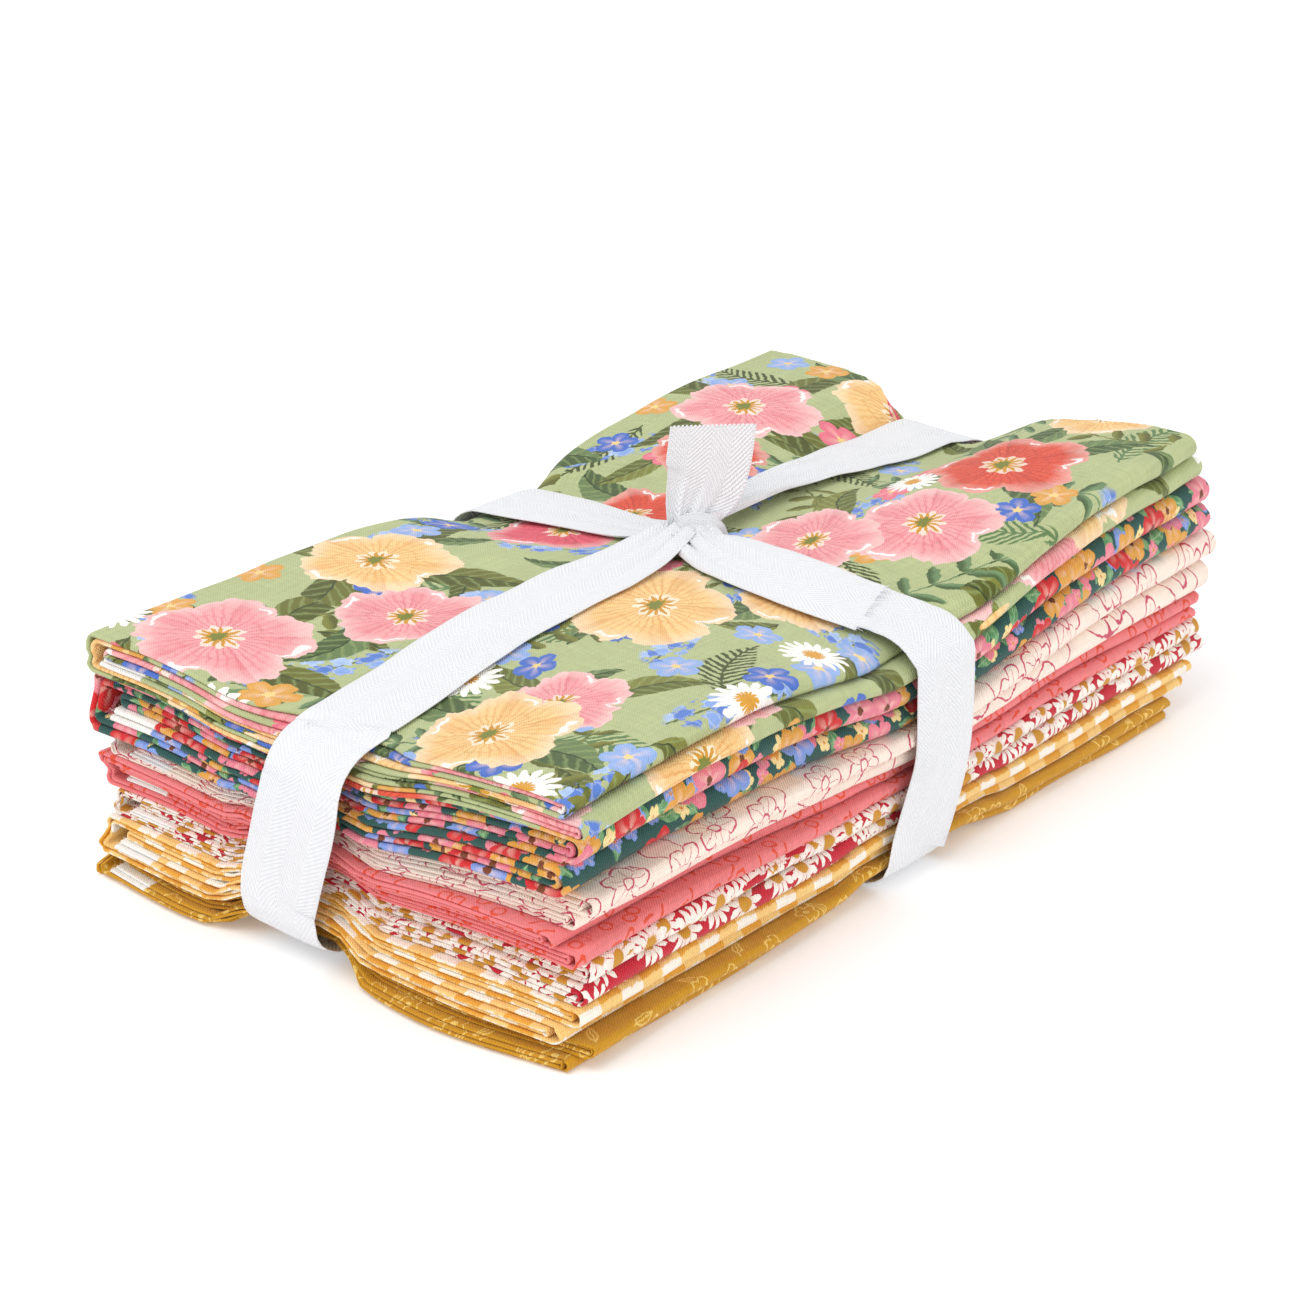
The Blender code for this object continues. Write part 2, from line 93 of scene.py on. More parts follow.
# Fitted to the photo: place in m, turn and tilt in radians, lens and sensor in mm.
CAMERA_PLACE = Vector((-0.47654, -0.38251, 0.27704))
CAMERA_TURN = 0.69184
CAMERA_TILT = 0.37896
CAMERA_LENS = 77.54
CAMERA_SENSOR = 36.0
lens = bpy.data.cameras.new("camera")
lens.lens = CAMERA_LENS
lens.sensor_width = CAMERA_SENSOR
lens.clip_start = 0.01
camera = bpy.data.objects.new("camera", lens)
bpy.context.scene.collection.objects.link(camera)
look = Vector((math.cos(CAMERA_TURN) * math.cos(CAMERA_TILT),
               math.sin(CAMERA_TURN) * math.cos(CAMERA_TILT),
               -math.sin(CAMERA_TILT)))
right = Vector((math.sin(CAMERA_TURN), -math.cos(CAMERA_TURN), 0.0))
upward = right.cross(look)
camera.matrix_world = Matrix((
    (right.x, upward.x, -look.x, CAMERA_PLACE.x),
    (right.y, upward.y, -look.y, CAMERA_PLACE.y),
    (right.z, upward.z, -look.z, CAMERA_PLACE.z),
    (0.0, 0.0, 0.0, 1.0)))
bpy.context.scene.camera = camera


# The lowest cut: mustard cotton with pale sprigs.  Half a yard of 1.12 m wide
# cotton, doubled lengthwise and folded to an eighth of its width, so it has
# eight bands of doubled cloth with round noses at the left and cut edges right.
MM = 0.001
ORIGIN = np.array((-4.5, -0.8, 0.0))
HALF_LENGTH = 118.0
HALF_WIDTH = 67.0

# Each cut from the lowest up, in mm: its height at the left and right end, what
# it gains at the far left corner, and the share of the ribbon's squeeze it takes.
Layer = namedtuple("Layer", "left right corner give")
STACK = {
    "cut_mustard_sprig": Layer(5.6, 6.0, 0.6, 0.3),
    "cut_yellow_gingham": Layer(8.3, 6.8, 0.3, 1.0),
    "cut_red_daisy": Layer(9.7, 10.3, -3.4, 1.0),
    "cut_coral_line": Layer(7.1, 7.2, 2.4, 0.7),
    "cut_cream_line": Layer(7.4, 15.2, -2.4, 1.0),
    "cut_teal_floral": Layer(13.9, 15.2, 0.7, 1.0),
    "cut_sage_floral": Layer(8.0, 12.8, 1.8, 1.0),
}
CORNER_FROM = 30.0

# Where the ribbon's middle runs, in mm: lengthwise on top and under the stack,
# and crosswise at the near and far edge, on top and under it.
LENGTHWISE_X = (-118.0, -60.0, 9.0, 118.0)
LENGTHWISE_Y = (1.0, 6.5, 7.0, 9.0)
LENGTHWISE_FOOT = 9.0
CROSSWISE_TOP = (5.0, 9.5)
CROSSWISE_FOOT = (-4.0, 4.0)
KNOT_X = 9.0
KNOT_Y = 5.0
UNDER_RIBBON = 12.0

# The top of the stack, in mm: its height along the near and far edge, its sag in
# the middle, and how deep and how wide the ribbon draws it in.  The ribbon's dip
# is full from FULL_DIP_X and FULL_DIP_Y on, and past LEVEL_X and LEVEL_Y the
# cloth goes on as it is there.
NEAR_HEIGHT = 60.0
NEAR_RISE = 13.6
CORNER_RISE = 1.2
FAR_HEIGHT = 60.6
FAR_RISE = 8.4
NEAR_SAG = 1.2
FAR_SAG = 2.8
LEVEL_X = 96.5
LEVEL_Y = 57.5
FULL_DIP_X = 96.0
FULL_DIP_Y = 56.0
MIDDLE_DIP = 4.0
NEAR_DIP = 10.8
FAR_DIP = 7.2
LEFT_DIP = 9.5
RIGHT_DIP = 12.2
NEAR_REACH = 26.0
FAR_REACH = 14.0
LEFT_REACH = 24.0
RIGHT_REACH = (15.5, 7.0)

# The underside, in mm: how far the ribbon lifts it, what that gains towards the
# left and right end and where the two turns cross, and the half width of cloth
# that each turn lifts, with the distance over which the lift fades.
FOOT_LIFT = 1.75
LEFT_LIFT = 3.0
LEFT_LIFT_FROM = -66.0
RIGHT_LIFT = 0.8
RIGHT_LIFT_FROM = 70.0
LIFT_RUN = 30.0
CROSSING_LIFT = 1.55
CROSSWISE_FOOT_X = 3.5
LENGTHWISE_BED = (13.0, 10.0)
CROSSWISE_BED = (21.5, 12.0)

# How far in and how far down the ribbon's round corners hold the cloth, and the
# height from which it leans on a face, with how far up it does, in mm.
TOP_SHOULDER = (13.0, 10.0)
FOOT_SHOULDER = (7.8, 6.2)
CROSSWISE_LEAN = (8.0, 22.0)
LENGTHWISE_LEAN = (12.0, 28.0)


def ease(share):
    """Smooth step from 0 to 1."""
    share = np.clip(share, 0.0, 1.0)
    return share * share * (3.0 - 2.0 * share)


def soft_limit(value, limit, blend=9.0):
    """The value, held smoothly at plus or minus a limit."""
    size = np.abs(value)
    past = np.clip((size - limit + blend) / (2.0 * blend), 0.0, 1.0)
    held = limit - blend + 2.0 * blend * (past - 0.5 * past * past)
    return np.sign(value) * np.where(size < limit - blend, size, held)


def dip_shape(distance, reach):
    """1 under the ribbon, easing out on both sides of it."""
    away = np.maximum(0.0, np.abs(distance) - UNDER_RIBBON)
    return 1.0 / (1.0 + (away / reach) ** 2)


def crosswise_x(y):
    """Middle of the crosswise ribbon on top of the stack."""
    return np.interp(y, (-HALF_WIDTH, HALF_WIDTH), CROSSWISE_TOP)


def lengthwise_y(x):
    """Middle of the lengthwise ribbon on top of the stack."""
    return np.interp(x, LENGTHWISE_X, LENGTHWISE_Y)


def ripple(a, b, seed, wave):
    """Smooth random waves of size about 1 over a plane."""
    draw = np.random.default_rng(seed)
    total = 0.0
    for _ in range(6):
        turn = draw.uniform(0.0, 2.0 * math.pi)
        long = wave * draw.uniform(0.6, 1.7)
        phase = draw.uniform(0.0, 2.0 * math.pi)
        total = total + np.sin((a * math.cos(turn) + b * math.sin(turn)) * 2.0 * math.pi / long + phase)
    return total / 2.4


def top_height(x, y):
    """Height of the stack's top with the ribbon drawn tight, in mm."""
    to_right = (x + HALF_LENGTH) / (2.0 * HALF_LENGTH)
    x = soft_limit(x, LEVEL_X)
    y = soft_limit(y, LEVEL_Y)
    to_far = (y + HALF_WIDTH) / (2.0 * HALF_WIDTH)
    near = NEAR_HEIGHT + NEAR_RISE * to_right + CORNER_RISE * to_right ** 6
    far = FAR_HEIGHT + FAR_RISE * to_right
    arch = 1.0 - np.minimum(1.0, np.abs(x) / HALF_LENGTH) ** 2
    sag = (NEAR_SAG + (FAR_SAG - NEAR_SAG) * to_far) * arch
    plain = near + (far - near) * to_far - sag
    edge_depth = np.where(y < 0.0, NEAR_DIP, FAR_DIP)
    to_edge = np.minimum(1.0, np.abs(y) / FULL_DIP_Y)
    cross_depth = MIDDLE_DIP + (edge_depth - MIDDLE_DIP) * to_edge ** 2
    cross_reach = NEAR_REACH + (FAR_REACH - NEAR_REACH) * to_far
    cross = cross_depth * dip_shape(x - crosswise_x(y), cross_reach)
    end_depth = np.where(x < 0.0, LEFT_DIP, RIGHT_DIP)
    to_end = np.minimum(1.0, np.abs(x) / FULL_DIP_X)
    long_depth = MIDDLE_DIP + (end_depth - MIDDLE_DIP) * to_end ** 2
    end_reach = np.where(y < lengthwise_y(x), *RIGHT_REACH)
    long_reach = LEFT_REACH + (end_reach - LEFT_REACH) * np.where(x < 0.0, 0.0, to_end)
    length = long_depth * dip_shape(y - lengthwise_y(x), long_reach)
    return plain - np.hypot(cross, length)


def over_ribbon(distance, half, fade):
    """1 where the ribbon lifts what is above it, easing to 0 beside it."""
    return 1.0 - ease((np.abs(distance) - half) / fade)


def foot_height(x, y):
    """Height of the stack's underside: flat, but lifted over the ribbon."""
    x = soft_limit(x, LEVEL_X)
    y = soft_limit(y, LEVEL_Y)
    on_length = over_ribbon(y - LENGTHWISE_FOOT, *LENGTHWISE_BED)
    on_cross = over_ribbon(x - CROSSWISE_FOOT_X, *CROSSWISE_BED)
    raised = FOOT_LIFT + LEFT_LIFT * ease((LEFT_LIFT_FROM - x) / LIFT_RUN)
    raised = raised + RIGHT_LIFT * ease((x - RIGHT_LIFT_FROM) / LIFT_RUN)
    lifted = np.maximum(raised * on_length, FOOT_LIFT * on_cross)
    return lifted + CROSSING_LIFT * on_length * on_cross


def cut_levels(index, x, y):
    """Height of a cut's foot and its thickness at places of the stack."""
    to_right = (x + HALF_LENGTH) / (2.0 * HALF_LENGTH)
    to_left = np.clip((-x - CORNER_FROM) / (HALF_LENGTH - CORNER_FROM), 0.0, 1.0)
    corner = to_left * ease((y + HALF_WIDTH) / (2.0 * HALF_WIDTH))
    layers = STACK.values()
    plain = [cut.left + (cut.right - cut.left) * to_right + cut.corner * corner for cut in layers]
    foot = foot_height(x, y)
    room_for = top_height(x, y) - foot
    squeeze = (sum(plain) - room_for) / sum(tall * cut.give for tall, cut in zip(plain, layers))
    thick = [tall * (1.0 - cut.give * squeeze) for tall, cut in zip(plain, layers)]
    return foot + sum(thick[:index]), thick[index]


def shoulder(drop, run, tall):
    """How far a round corner of the ribbon holds the cloth in, below it."""
    share = np.clip(1.0 - np.maximum(0.0, drop) / tall, 0.0, 1.0)
    return run * (1.0 - np.sqrt(1.0 - share * share))


def held_in(x, y, z, distance, reach):
    """Shift of an edge of cloth under the ribbon, at the top and at the foot."""
    below_top = shoulder(top_height(x, y) - z, *TOP_SHOULDER)
    above_foot = shoulder(z - foot_height(x, y), *FOOT_SHOULDER)
    return np.maximum(below_top, above_foot) * dip_shape(distance, reach)


def lean_x(side, z):
    """Middle of the crosswise ribbon on the near or far face, where it leans."""
    start, rise = CROSSWISE_LEAN
    share = np.clip((z - start) / rise, 0.0, 1.0)
    return CROSSWISE_FOOT[side] + (CROSSWISE_TOP[side] - CROSSWISE_FOOT[side]) * share


def lean_y(x, z):
    """Middle of the lengthwise ribbon on a short end."""
    start, rise = LENGTHWISE_LEAN
    share = np.clip((z - start) / rise, 0.0, 1.0)
    return LENGTHWISE_FOOT + (lengthwise_y(x) - LENGTHWISE_FOOT) * share


def length_along(line):
    """Length of a line of points up to each of its points."""
    steps = np.linalg.norm(np.diff(line, axis=0), axis=1)
    return np.concatenate(([0.0], np.cumsum(steps)))


def lofted(name, shells, offset, sharp):
    """One mesh from shells of rings along a path, each with its unfolded places.

    A ladder of faces closes both ends of a shell.  Its rungs join each point of
    the end's ring to the one as far back from the ring's last point, and offset
    is 0 where the ring's first point faces itself, as on a nose.
    """
    points, flat, faces = [], [], []
    for ring, uv in shells:
        count, around = ring.shape[:2]
        index = len(points) + np.arange(count * around).reshape(count, around)
        points += (ring.reshape(-1, 3) + ORIGIN).tolist()
        flat += uv.reshape(-1, 2).tolist()
        first, second = index[:-1], index[1:]
        sides = (first, np.roll(first, -1, axis=1), np.roll(second, -1, axis=1), second)
        faces += np.stack(sides, axis=-1).reshape(-1, 4).tolist()
        for cap, way in ((index[0].tolist(), 1), (index[-1].tolist(), -1)):
            rungs = [(cap[i], cap[-i - offset]) for i in range((around - offset) // 2 + 1)]
            for (a, d), (b, c) in zip(rungs, rungs[1:]):
                faces.append(list(dict.fromkeys((a, b, c, d)[::way])))
    mesh = bpy.data.meshes.new(name)
    mesh.from_pydata((np.array(points) * MM).tolist(), [], faces)
    fixed = bmesh.new()
    fixed.from_mesh(mesh)
    bmesh.ops.recalc_face_normals(fixed, faces=fixed.faces)
    fixed.to_mesh(mesh)
    fixed.free()
    corners = np.zeros(len(mesh.loops), int)
    mesh.loops.foreach_get("vertex_index", corners)
    layer = mesh.uv_layers.new(name="cloth")
    layer.data.foreach_set("uv", (np.array(flat)[corners] * MM).astype(np.float32).ravel())
    mesh.shade_smooth()
    mesh.set_sharp_from_angle(angle=math.radians(sharp))
    made = bpy.data.objects.new(name, mesh)
    bpy.context.scene.collection.objects.link(made)
    return made


# A cut's bands are counted 0 to 7 from its foot.  Two meet at each near fold, and
# two spines at the far side join the lower four bands to the upper four.
BANDS = 8
NEAR_PARTNER = {0: 3, 3: 0, 1: 2, 2: 1, 4: 7, 7: 4, 5: 6, 6: 5}
INNER_BANDS = (1, 2, 5, 6)
OUTER_SPINE = (0, 7)
INNER_SPINE = (1, 6)
MIDDLE_BAND_REACH = {2: 1.0, 3: 0.0, 4: -1.5, 5: -1.5}

# The folds: the cloth's share of a band, how round the near folds are, how far
# they curl and gape, and how unevenly they and the ends lie, in mm.
CLOTH_SHARE = 0.86
ROUNDNESS = 1.15
INNER_CURL = 0.55
OUTER_CURL = 0.25
INNER_GAPE = 0.30
OUTER_GAPE = 0.12
NEAR_WANDER = 0.55
SPINE_BEND_PART = 0.3
END_CLEARANCE = 0.75
UNEVEN = 0.9

# How far along an edge the ribbon's hold on it fades, in mm.
EDGE_HOLD = 10.0
LEFT_HOLD = 12.0
RIGHT_HOLD = 5.0

# The noses at the left end, and at the right end the depth of the slit between
# the two plies, the share of their thickness that it opens, and their fray.
NOSE_ANGLES = np.radians((0.0, 22.0, 45.0, 68.0, 90.0))
SLIT_DEPTH = 4.0
SLIT_SHARE = 0.14
FRAY = 0.35
LENGTH_STATION = 12
NEAR = 0
FAR = 1


class Folded:
    """One doubled and folded cut: its path through the eight bands, in mm.

    near, left and right say how far its lower and its upper four bands reach, and
    near also how far both reach at the right end.  far is its far side.  askew and
    left_askew slant its right and its left end, and bulge swells the left one.
    slack sets its inner near folds back, and setback its middle bands' far ends.
    """

    def __init__(self, node, seed, near, far, left, right, askew=0.0, bulge=0.0, left_askew=0.0,
                 slack=1.6, setback=7.0, runs=24, stations=30):
        self.index = list(STACK).index(node)
        self.seed = seed
        self.near = near
        self.far = far
        self.left = left
        self.right = right
        self.askew = askew
        self.bulge = bulge
        self.left_askew = left_askew
        self.slack = slack
        self.setback = setback
        self.runs = runs
        self.stations = stations
        draw = np.random.default_rng(seed)
        weights = draw.uniform(0.86, 1.14, BANDS)
        self.weights = weights / weights.sum()
        self.middles = np.cumsum(self.weights) - 0.5 * self.weights
        self.band_reach = draw.uniform(-1.0, 1.0, BANDS)
        self.rows = self.path_rows()

    def path_rows(self):
        """The strip's path as rows (shape, band, next band, share of the way)."""
        def run(band, inward):
            steps = np.linspace(0.0, 1.0, self.runs)
            return [(self.flat_run, band, band, 1.0 - s if inward else s) for s in steps]

        def turn(shape, start, end, count):
            return [(shape, start, end, s) for s in np.linspace(0.0, 1.0, count)[1:-1]]

        rows = run(3, True) + turn(self.near_turn, 3, 0, 14) + run(0, False)
        rows += turn(self.spine_turn, 0, 7, 22) + run(7, True) + turn(self.near_turn, 7, 4, 14)
        rows += run(4, False) + turn(self.half_turn, 4, 5, 8) + run(5, True)
        rows += turn(self.near_turn, 5, 6, 10) + run(6, False) + turn(self.spine_turn, 6, 1, 20)
        rows += run(1, True) + turn(self.near_turn, 1, 2, 10) + run(2, False)
        return rows

    def centre(self, x):
        """Middle line of the strip: y, z and half thickness for rows by stations."""
        placed = [shape(band, other, share, x[number])
                  for number, (shape, band, other, share) in enumerate(self.rows)]
        return [np.stack(values) for values in zip(*placed)]

    def half_thick(self, band, other, share, tall):
        """Half the cloth's thickness, part of the way from a band to another."""
        mixed = self.weights[band] + (self.weights[other] - self.weights[band]) * share
        return 0.5 * CLOTH_SHARE * mixed * tall

    def reach_near(self, band, x):
        """How far a band's near fold reaches, at places along the cut."""
        upper = band > 3
        inner = band in INNER_BANDS
        low_reach, up_reach, right_reach = self.near
        start = up_reach if upper else low_reach
        to_right = np.clip((x + HALF_LENGTH) / (2.0 * HALF_LENGTH), 0.0, 1.0)
        wander = NEAR_WANDER * ripple(x, 0.0, self.seed + 11 + 2 * upper + inner, 70.0)
        wander = wander * np.clip((HALF_LENGTH - np.abs(x)) / 30.0, 0.15, 1.0)
        inset = 0.0
        if inner:
            inset = self.slack * (1.0 + 0.35 * ripple(x, 0.0, self.seed + 31 + upper, 60.0))
        return start + (right_reach - start) * to_right + wander - NEAR_WANDER - inset

    def near_fold(self, band, x):
        """A near fold's two heights, the cut's thickness, and where its turn begins."""
        base, tall = cut_levels(self.index, x, -HALF_WIDTH)
        z_band = base + self.middles[band] * tall
        z_pair = base + self.middles[NEAR_PARTNER[band]] * tall
        radius = 0.5 * np.abs(z_pair - z_band)
        thick = self.half_thick(band, band, 0.0, tall)
        return z_band, z_pair, tall, -self.reach_near(band, x) + ROUNDNESS * radius + thick

    def near_turn(self, band, other, share, x):
        """A row of the round turn at a near fold."""
        z_band, z_pair, tall, y_turn = self.near_fold(band, x)
        curl, gape = (INNER_CURL, INNER_GAPE) if band in INNER_BANDS else (OUTER_CURL, OUTER_GAPE)
        angle = math.pi * share
        z = 0.5 * (z_band + z_pair) + 0.5 * (z_band - z_pair) * math.cos(angle)
        y = y_turn - (ROUNDNESS * (0.5 * np.abs(z_pair - z_band)) + curl) * math.sin(angle)
        open_by = gape * np.minimum(1.0, 1.5 * self.weights[band] * tall)
        z = z + np.sign(z_band - z_pair) * open_by * math.sin(2.0 * angle)
        y = y + held_in(x, -HALF_WIDTH, z, x - lean_x(NEAR, z), EDGE_HOLD)
        return y, z, self.half_thick(band, other, share, tall) * (1.0 - 0.3 * math.sin(angle))

    def flat_run(self, band, other, share, x):
        """A row of a flat band, between its near fold and its far end."""
        z_band, _, _, y_turn = self.near_fold(band, x)
        start = y_turn + held_in(x, -HALF_WIDTH, z_band, x - lean_x(NEAR, z_band), EDGE_HOLD)
        base, tall = cut_levels(self.index, x, HALF_WIDTH)
        end = self.far_end(band, x, base, tall)
        y = start + (end - start) * share
        base, tall = cut_levels(self.index, x, y)
        return y, base + self.middles[band] * tall, self.half_thick(band, other, share, tall)

    def half_turn(self, band, other, share, x):
        """A row of the half turn that joins the two middle bands at the far side."""
        base, tall = cut_levels(self.index, x, HALF_WIDTH)
        z_band = base + self.middles[band] * tall
        z_other = base + self.middles[other] * tall
        radius = 0.5 * (z_other - z_band)
        angle = math.pi * share
        z = 0.5 * (z_band + z_other) - radius * math.cos(angle)
        y = self.far_end(band, x, base, tall) + radius * math.sin(angle)
        return y, z, self.half_thick(band, other, share, tall)

    def spine_turn(self, band, other, share, x):
        """A row of a spine: a bend, a wall that bows in a little, and a bend."""
        base, tall = cut_levels(self.index, x, HALF_WIDTH)
        z_band = base + self.middles[band] * tall
        z_other = base + self.middles[other] * tall
        wall, bend = self.spine(band, x, tall)
        sign = np.sign(z_other - z_band)
        from_end = min(share, 1.0 - share)
        if from_end < SPINE_BEND_PART:
            angle = 0.5 * math.pi * from_end / SPINE_BEND_PART
            y = wall - bend + bend * math.sin(angle)
            rise = sign * bend * (1.0 - math.cos(angle))
            z = z_band + rise if share < 0.5 else z_other - rise
        else:
            part = (share - SPINE_BEND_PART) / (1.0 - 2.0 * SPINE_BEND_PART)
            z = z_band + sign * (bend + part * (np.abs(z_other - z_band) - 2.0 * bend))
            bow = 0.3 * math.sin(math.pi * part)
            y = wall - bow * (1.0 + ripple(x, 0.0, self.seed + 51, 60.0))
        y = y - held_in(x, HALF_WIDTH, z, x - lean_x(FAR, z), EDGE_HOLD)
        return y, z, self.half_thick(band, other, share, tall)

    def spine(self, band, x, tall):
        """Place of a spine's wall along Y and the radius of its bends."""
        thick = CLOTH_SHARE * self.weights[band] * tall
        wander = 0.4 * ripple(x, 0.0, self.seed + 61, 80.0)
        if band in OUTER_SPINE:
            foot, top = OUTER_SPINE
            wall = self.far - 0.5 * thick - 0.5 + wander
            bend = 1.6
        else:
            foot, top = INNER_SPINE
            wall = self.far - 1.5 * thick - 1.1 + wander
            bend = 1.2
        return wall, np.minimum(bend, 0.42 * (self.middles[top] - self.middles[foot]) * tall)

    def far_end(self, band, x, base, tall):
        """Where a band's run ends at the far side."""
        if band in OUTER_SPINE + INNER_SPINE:
            wall, bend = self.spine(band, x, tall)
            z = base + self.middles[band] * tall
            return wall - bend - held_in(x, HALF_WIDTH, z, x - lean_x(FAR, z), EDGE_HOLD)
        wander = 1.2 * ripple(x, 0.0, self.seed + 71 + band // 2, 90.0)
        return self.far - self.setback + MIDDLE_BAND_REACH[band] + wander

    def ends(self):
        """Where each row begins at the left and ends at the right."""
        level = np.array([band + (other - band) * share for _, band, other, share in self.rows])
        upper = np.clip((level - 2.5) / 2.0, 0.0, 1.0)
        jitter = np.interp(level, np.arange(BANDS), self.band_reach)
        faces = []
        for sign, (low, up) in ((-1.0, self.left), (1.0, self.right)):
            reach = low + (up - low) * upper
            y, z, _ = self.centre(sign * reach[:, None])
            y = y[:, 0]
            z = z[:, 0]
            side = np.full(len(level), sign * HALF_LENGTH)
            off = y - lean_y(side, z)
            if sign < 0.0:
                out = 1.0 - np.minimum(1.0, np.abs(y) / HALF_WIDTH) ** 3
                reach = reach + self.bulge * out * (1.0 - dip_shape(off, 5.0))
                reach = reach - self.left_askew * (0.5 + 0.5 * y / HALF_WIDTH)
                wander = ripple(y, 6.0 * level, self.seed + 81, 55.0)
                hold = LEFT_HOLD
            else:
                reach = reach + self.askew * 0.5 * (1.0 + y / HALF_WIDTH)
                wander = ripple(y, 6.0 * level, self.seed + 82, 55.0)
                hold = RIGHT_HOLD
            reach = reach - END_CLEARANCE - UNEVEN * (0.5 + 0.5 * jitter)
            reach = reach + 0.45 * UNEVEN * (wander - 1.0)
            faces.append(sign * (reach - held_in(side, y, z, off, hold)))
        return faces

    def crumple(self, x, y, z):
        """Small soft waves of the whole stack, larger towards its top."""
        lift = np.clip(z / 62.0, 0.0, 1.0) ** 3
        off_cross = np.abs(x - crosswise_x(y)) - UNDER_RIBBON
        off_long = np.abs(y - lengthwise_y(x)) - UNDER_RIBBON
        free = ease(off_cross / 16.0) * ease(off_long / 16.0)
        return lift * free * (0.34 * ripple(x, y, 5, 58.0) + 0.16 * ripple(x, y, 6, 24.0))

    def mesh_object(self, name):
        """The closed strip as a mesh with its unfolded lengths as UV, in metres."""
        left, right_end = self.ends()
        _, _, half = self.centre(left[:, None])
        nose = np.clip(1.5 * half[:, 0], 0.25, 1.6)
        columns = [left + nose * (1.0 - math.cos(angle)) for angle in NOSE_ANGLES]
        swells = [math.sin(angle) for angle in NOSE_ANGLES]
        start = left + nose
        for share in np.linspace(0.0, 1.0, self.stations)[1:]:
            columns.append(start + (right_end - start) * share)
            swells.append(1.0)
        x = np.stack(columns, axis=1)
        y, z, half = self.centre(x)
        z = z + self.crumple(x, y, z)
        swell = np.array(swells) * (0.84 + 0.24 * np.exp(-((x - left[:, None]) / 2.6) ** 2))
        step_y = np.gradient(y, axis=0)
        step_z = np.gradient(z, axis=0)
        size = np.hypot(step_y, step_z) + 1e-9
        out_y = -step_z / size * half * swell
        out_z = step_y / size * half * swell
        length_v = length_along(np.stack((y[:, LENGTH_STATION], z[:, LENGTH_STATION]), axis=1))
        upper = np.stack((x, y + out_y, z + out_z), axis=-1)
        lower = np.stack((x, y - out_y, z - out_z), axis=-1)
        fray = FRAY * ripple(length_v * 1.7, 0.0, self.seed + 91, 9.0)
        upper[:, -1, 0] += fray
        lower[:, -1, 0] -= fray
        slit = np.stack((x, y, z), axis=-1)[:, -1:]
        lips = []
        for skin in (upper, lower):
            lip = skin[:, -1:].copy()
            lip[:, :, 1:] = slit[:, :, 1:] + SLIT_SHARE * (lip[:, :, 1:] - slit[:, :, 1:])
            lips.append(lip)
        slit[:, :, 0] -= SLIT_DEPTH
        ring = np.concatenate((upper, lips[0], slit, lips[1], lower[:, :0:-1]), axis=1)
        self.cut_edges = (upper[:, -1], lower[:, -1])
        around = np.arange(-len(columns) + 1, len(columns))
        self.selvages = [(ring[row, around], ring[row, around] - ring[beside, around])
                         for row, beside in ((0, 1), (-1, -2))]
        self.length_v = float(length_v[-1])
        u = x - left[:, None]
        nose_u = NOSE_ANGLES * half.mean()
        u[:, :len(nose_u)] = nose_u
        u[:, len(nose_u):] += nose_u[-1] - nose[:, None]
        last = u[:, -1:]
        ring_u = np.concatenate((u, last, last - SLIT_DEPTH, -last, -u[:, :0:-1]), axis=1)
        ring_v = np.broadcast_to(length_v[:, None], ring_u.shape)
        return lofted(name, [(ring, np.stack((ring_u, ring_v), axis=-1))], 0, 55.0)


class Ink:
    """One value in a print's node tree; sums and products of it add nodes."""

    def __init__(self, tree, socket):
        self.tree, self.socket = tree, socket

    def math(self, operation, *others, first=None):
        node = self.tree.nodes.new("ShaderNodeMath")
        node.operation = operation
        values = (self,) + others if first is None else (first, self)
        for slot, value in enumerate(values):
            if isinstance(value, Ink):
                self.tree.links.new(value.socket, node.inputs[slot])
            else:
                node.inputs[slot].default_value = value
        return Ink(self.tree, node.outputs[0])

    def __add__(self, other):
        return self.math("ADD", other)

    def __sub__(self, other):
        return self.math("SUBTRACT", other)

    def __rsub__(self, other):
        return self.math("SUBTRACT", first=other)

    def __mul__(self, other):
        return self.math("MULTIPLY", other)

    def __truediv__(self, other):
        return self.math("DIVIDE", other)

    def sin(self):
        return self.math("SINE")

    def cos(self):
        return self.math("COSINE")

    def size(self):
        return self.math("ABSOLUTE")

    def power(self, other):
        return self.math("POWER", other)

    def most(self, other):
        return self.math("MAXIMUM", other)

    def wrapped(self, low, high):
        return self.math("WRAP", high, low)

    def held(self):
        """The value held between 0 and 1."""
        made = self.math("ADD", 0.0)
        made.socket.node.use_clamp = True
        return made

    def within(self, soft):
        """1 where the value is above zero, with a soft edge."""
        return (self / soft + 0.5).held()


def srgb(red, green, blue):
    """A colour given as it looks on screen, 0 to 255, for a shader."""
    parts = [value / 255.0 for value in (red, green, blue)]
    linear = [p / 12.92 if p <= 0.04045 else ((p + 0.055) / 1.055) ** 2.4 for p in parts]
    return (*linear, 1.0)


def over(tree, ground, colour, mask):
    """A colour printed over another where the mask is 1."""
    node = tree.nodes.new("ShaderNodeMix")
    node.data_type = "RGBA"
    if isinstance(mask, Ink):
        tree.links.new(mask.socket, node.inputs[0])
    else:
        node.inputs[0].default_value = mask
    for slot, value in ((6, ground), (7, colour)):
        if isinstance(value, tuple):
            node.inputs[slot].default_value = value
        else:
            tree.links.new(value, node.inputs[slot])
    return node.outputs[2]


def joined(tree, u, v):
    """A place on the cloth as one vector."""
    node = tree.nodes.new("ShaderNodeCombineXYZ")
    tree.links.new(u.socket, node.inputs[0])
    tree.links.new(v.socket, node.inputs[1])
    return node.outputs[0]


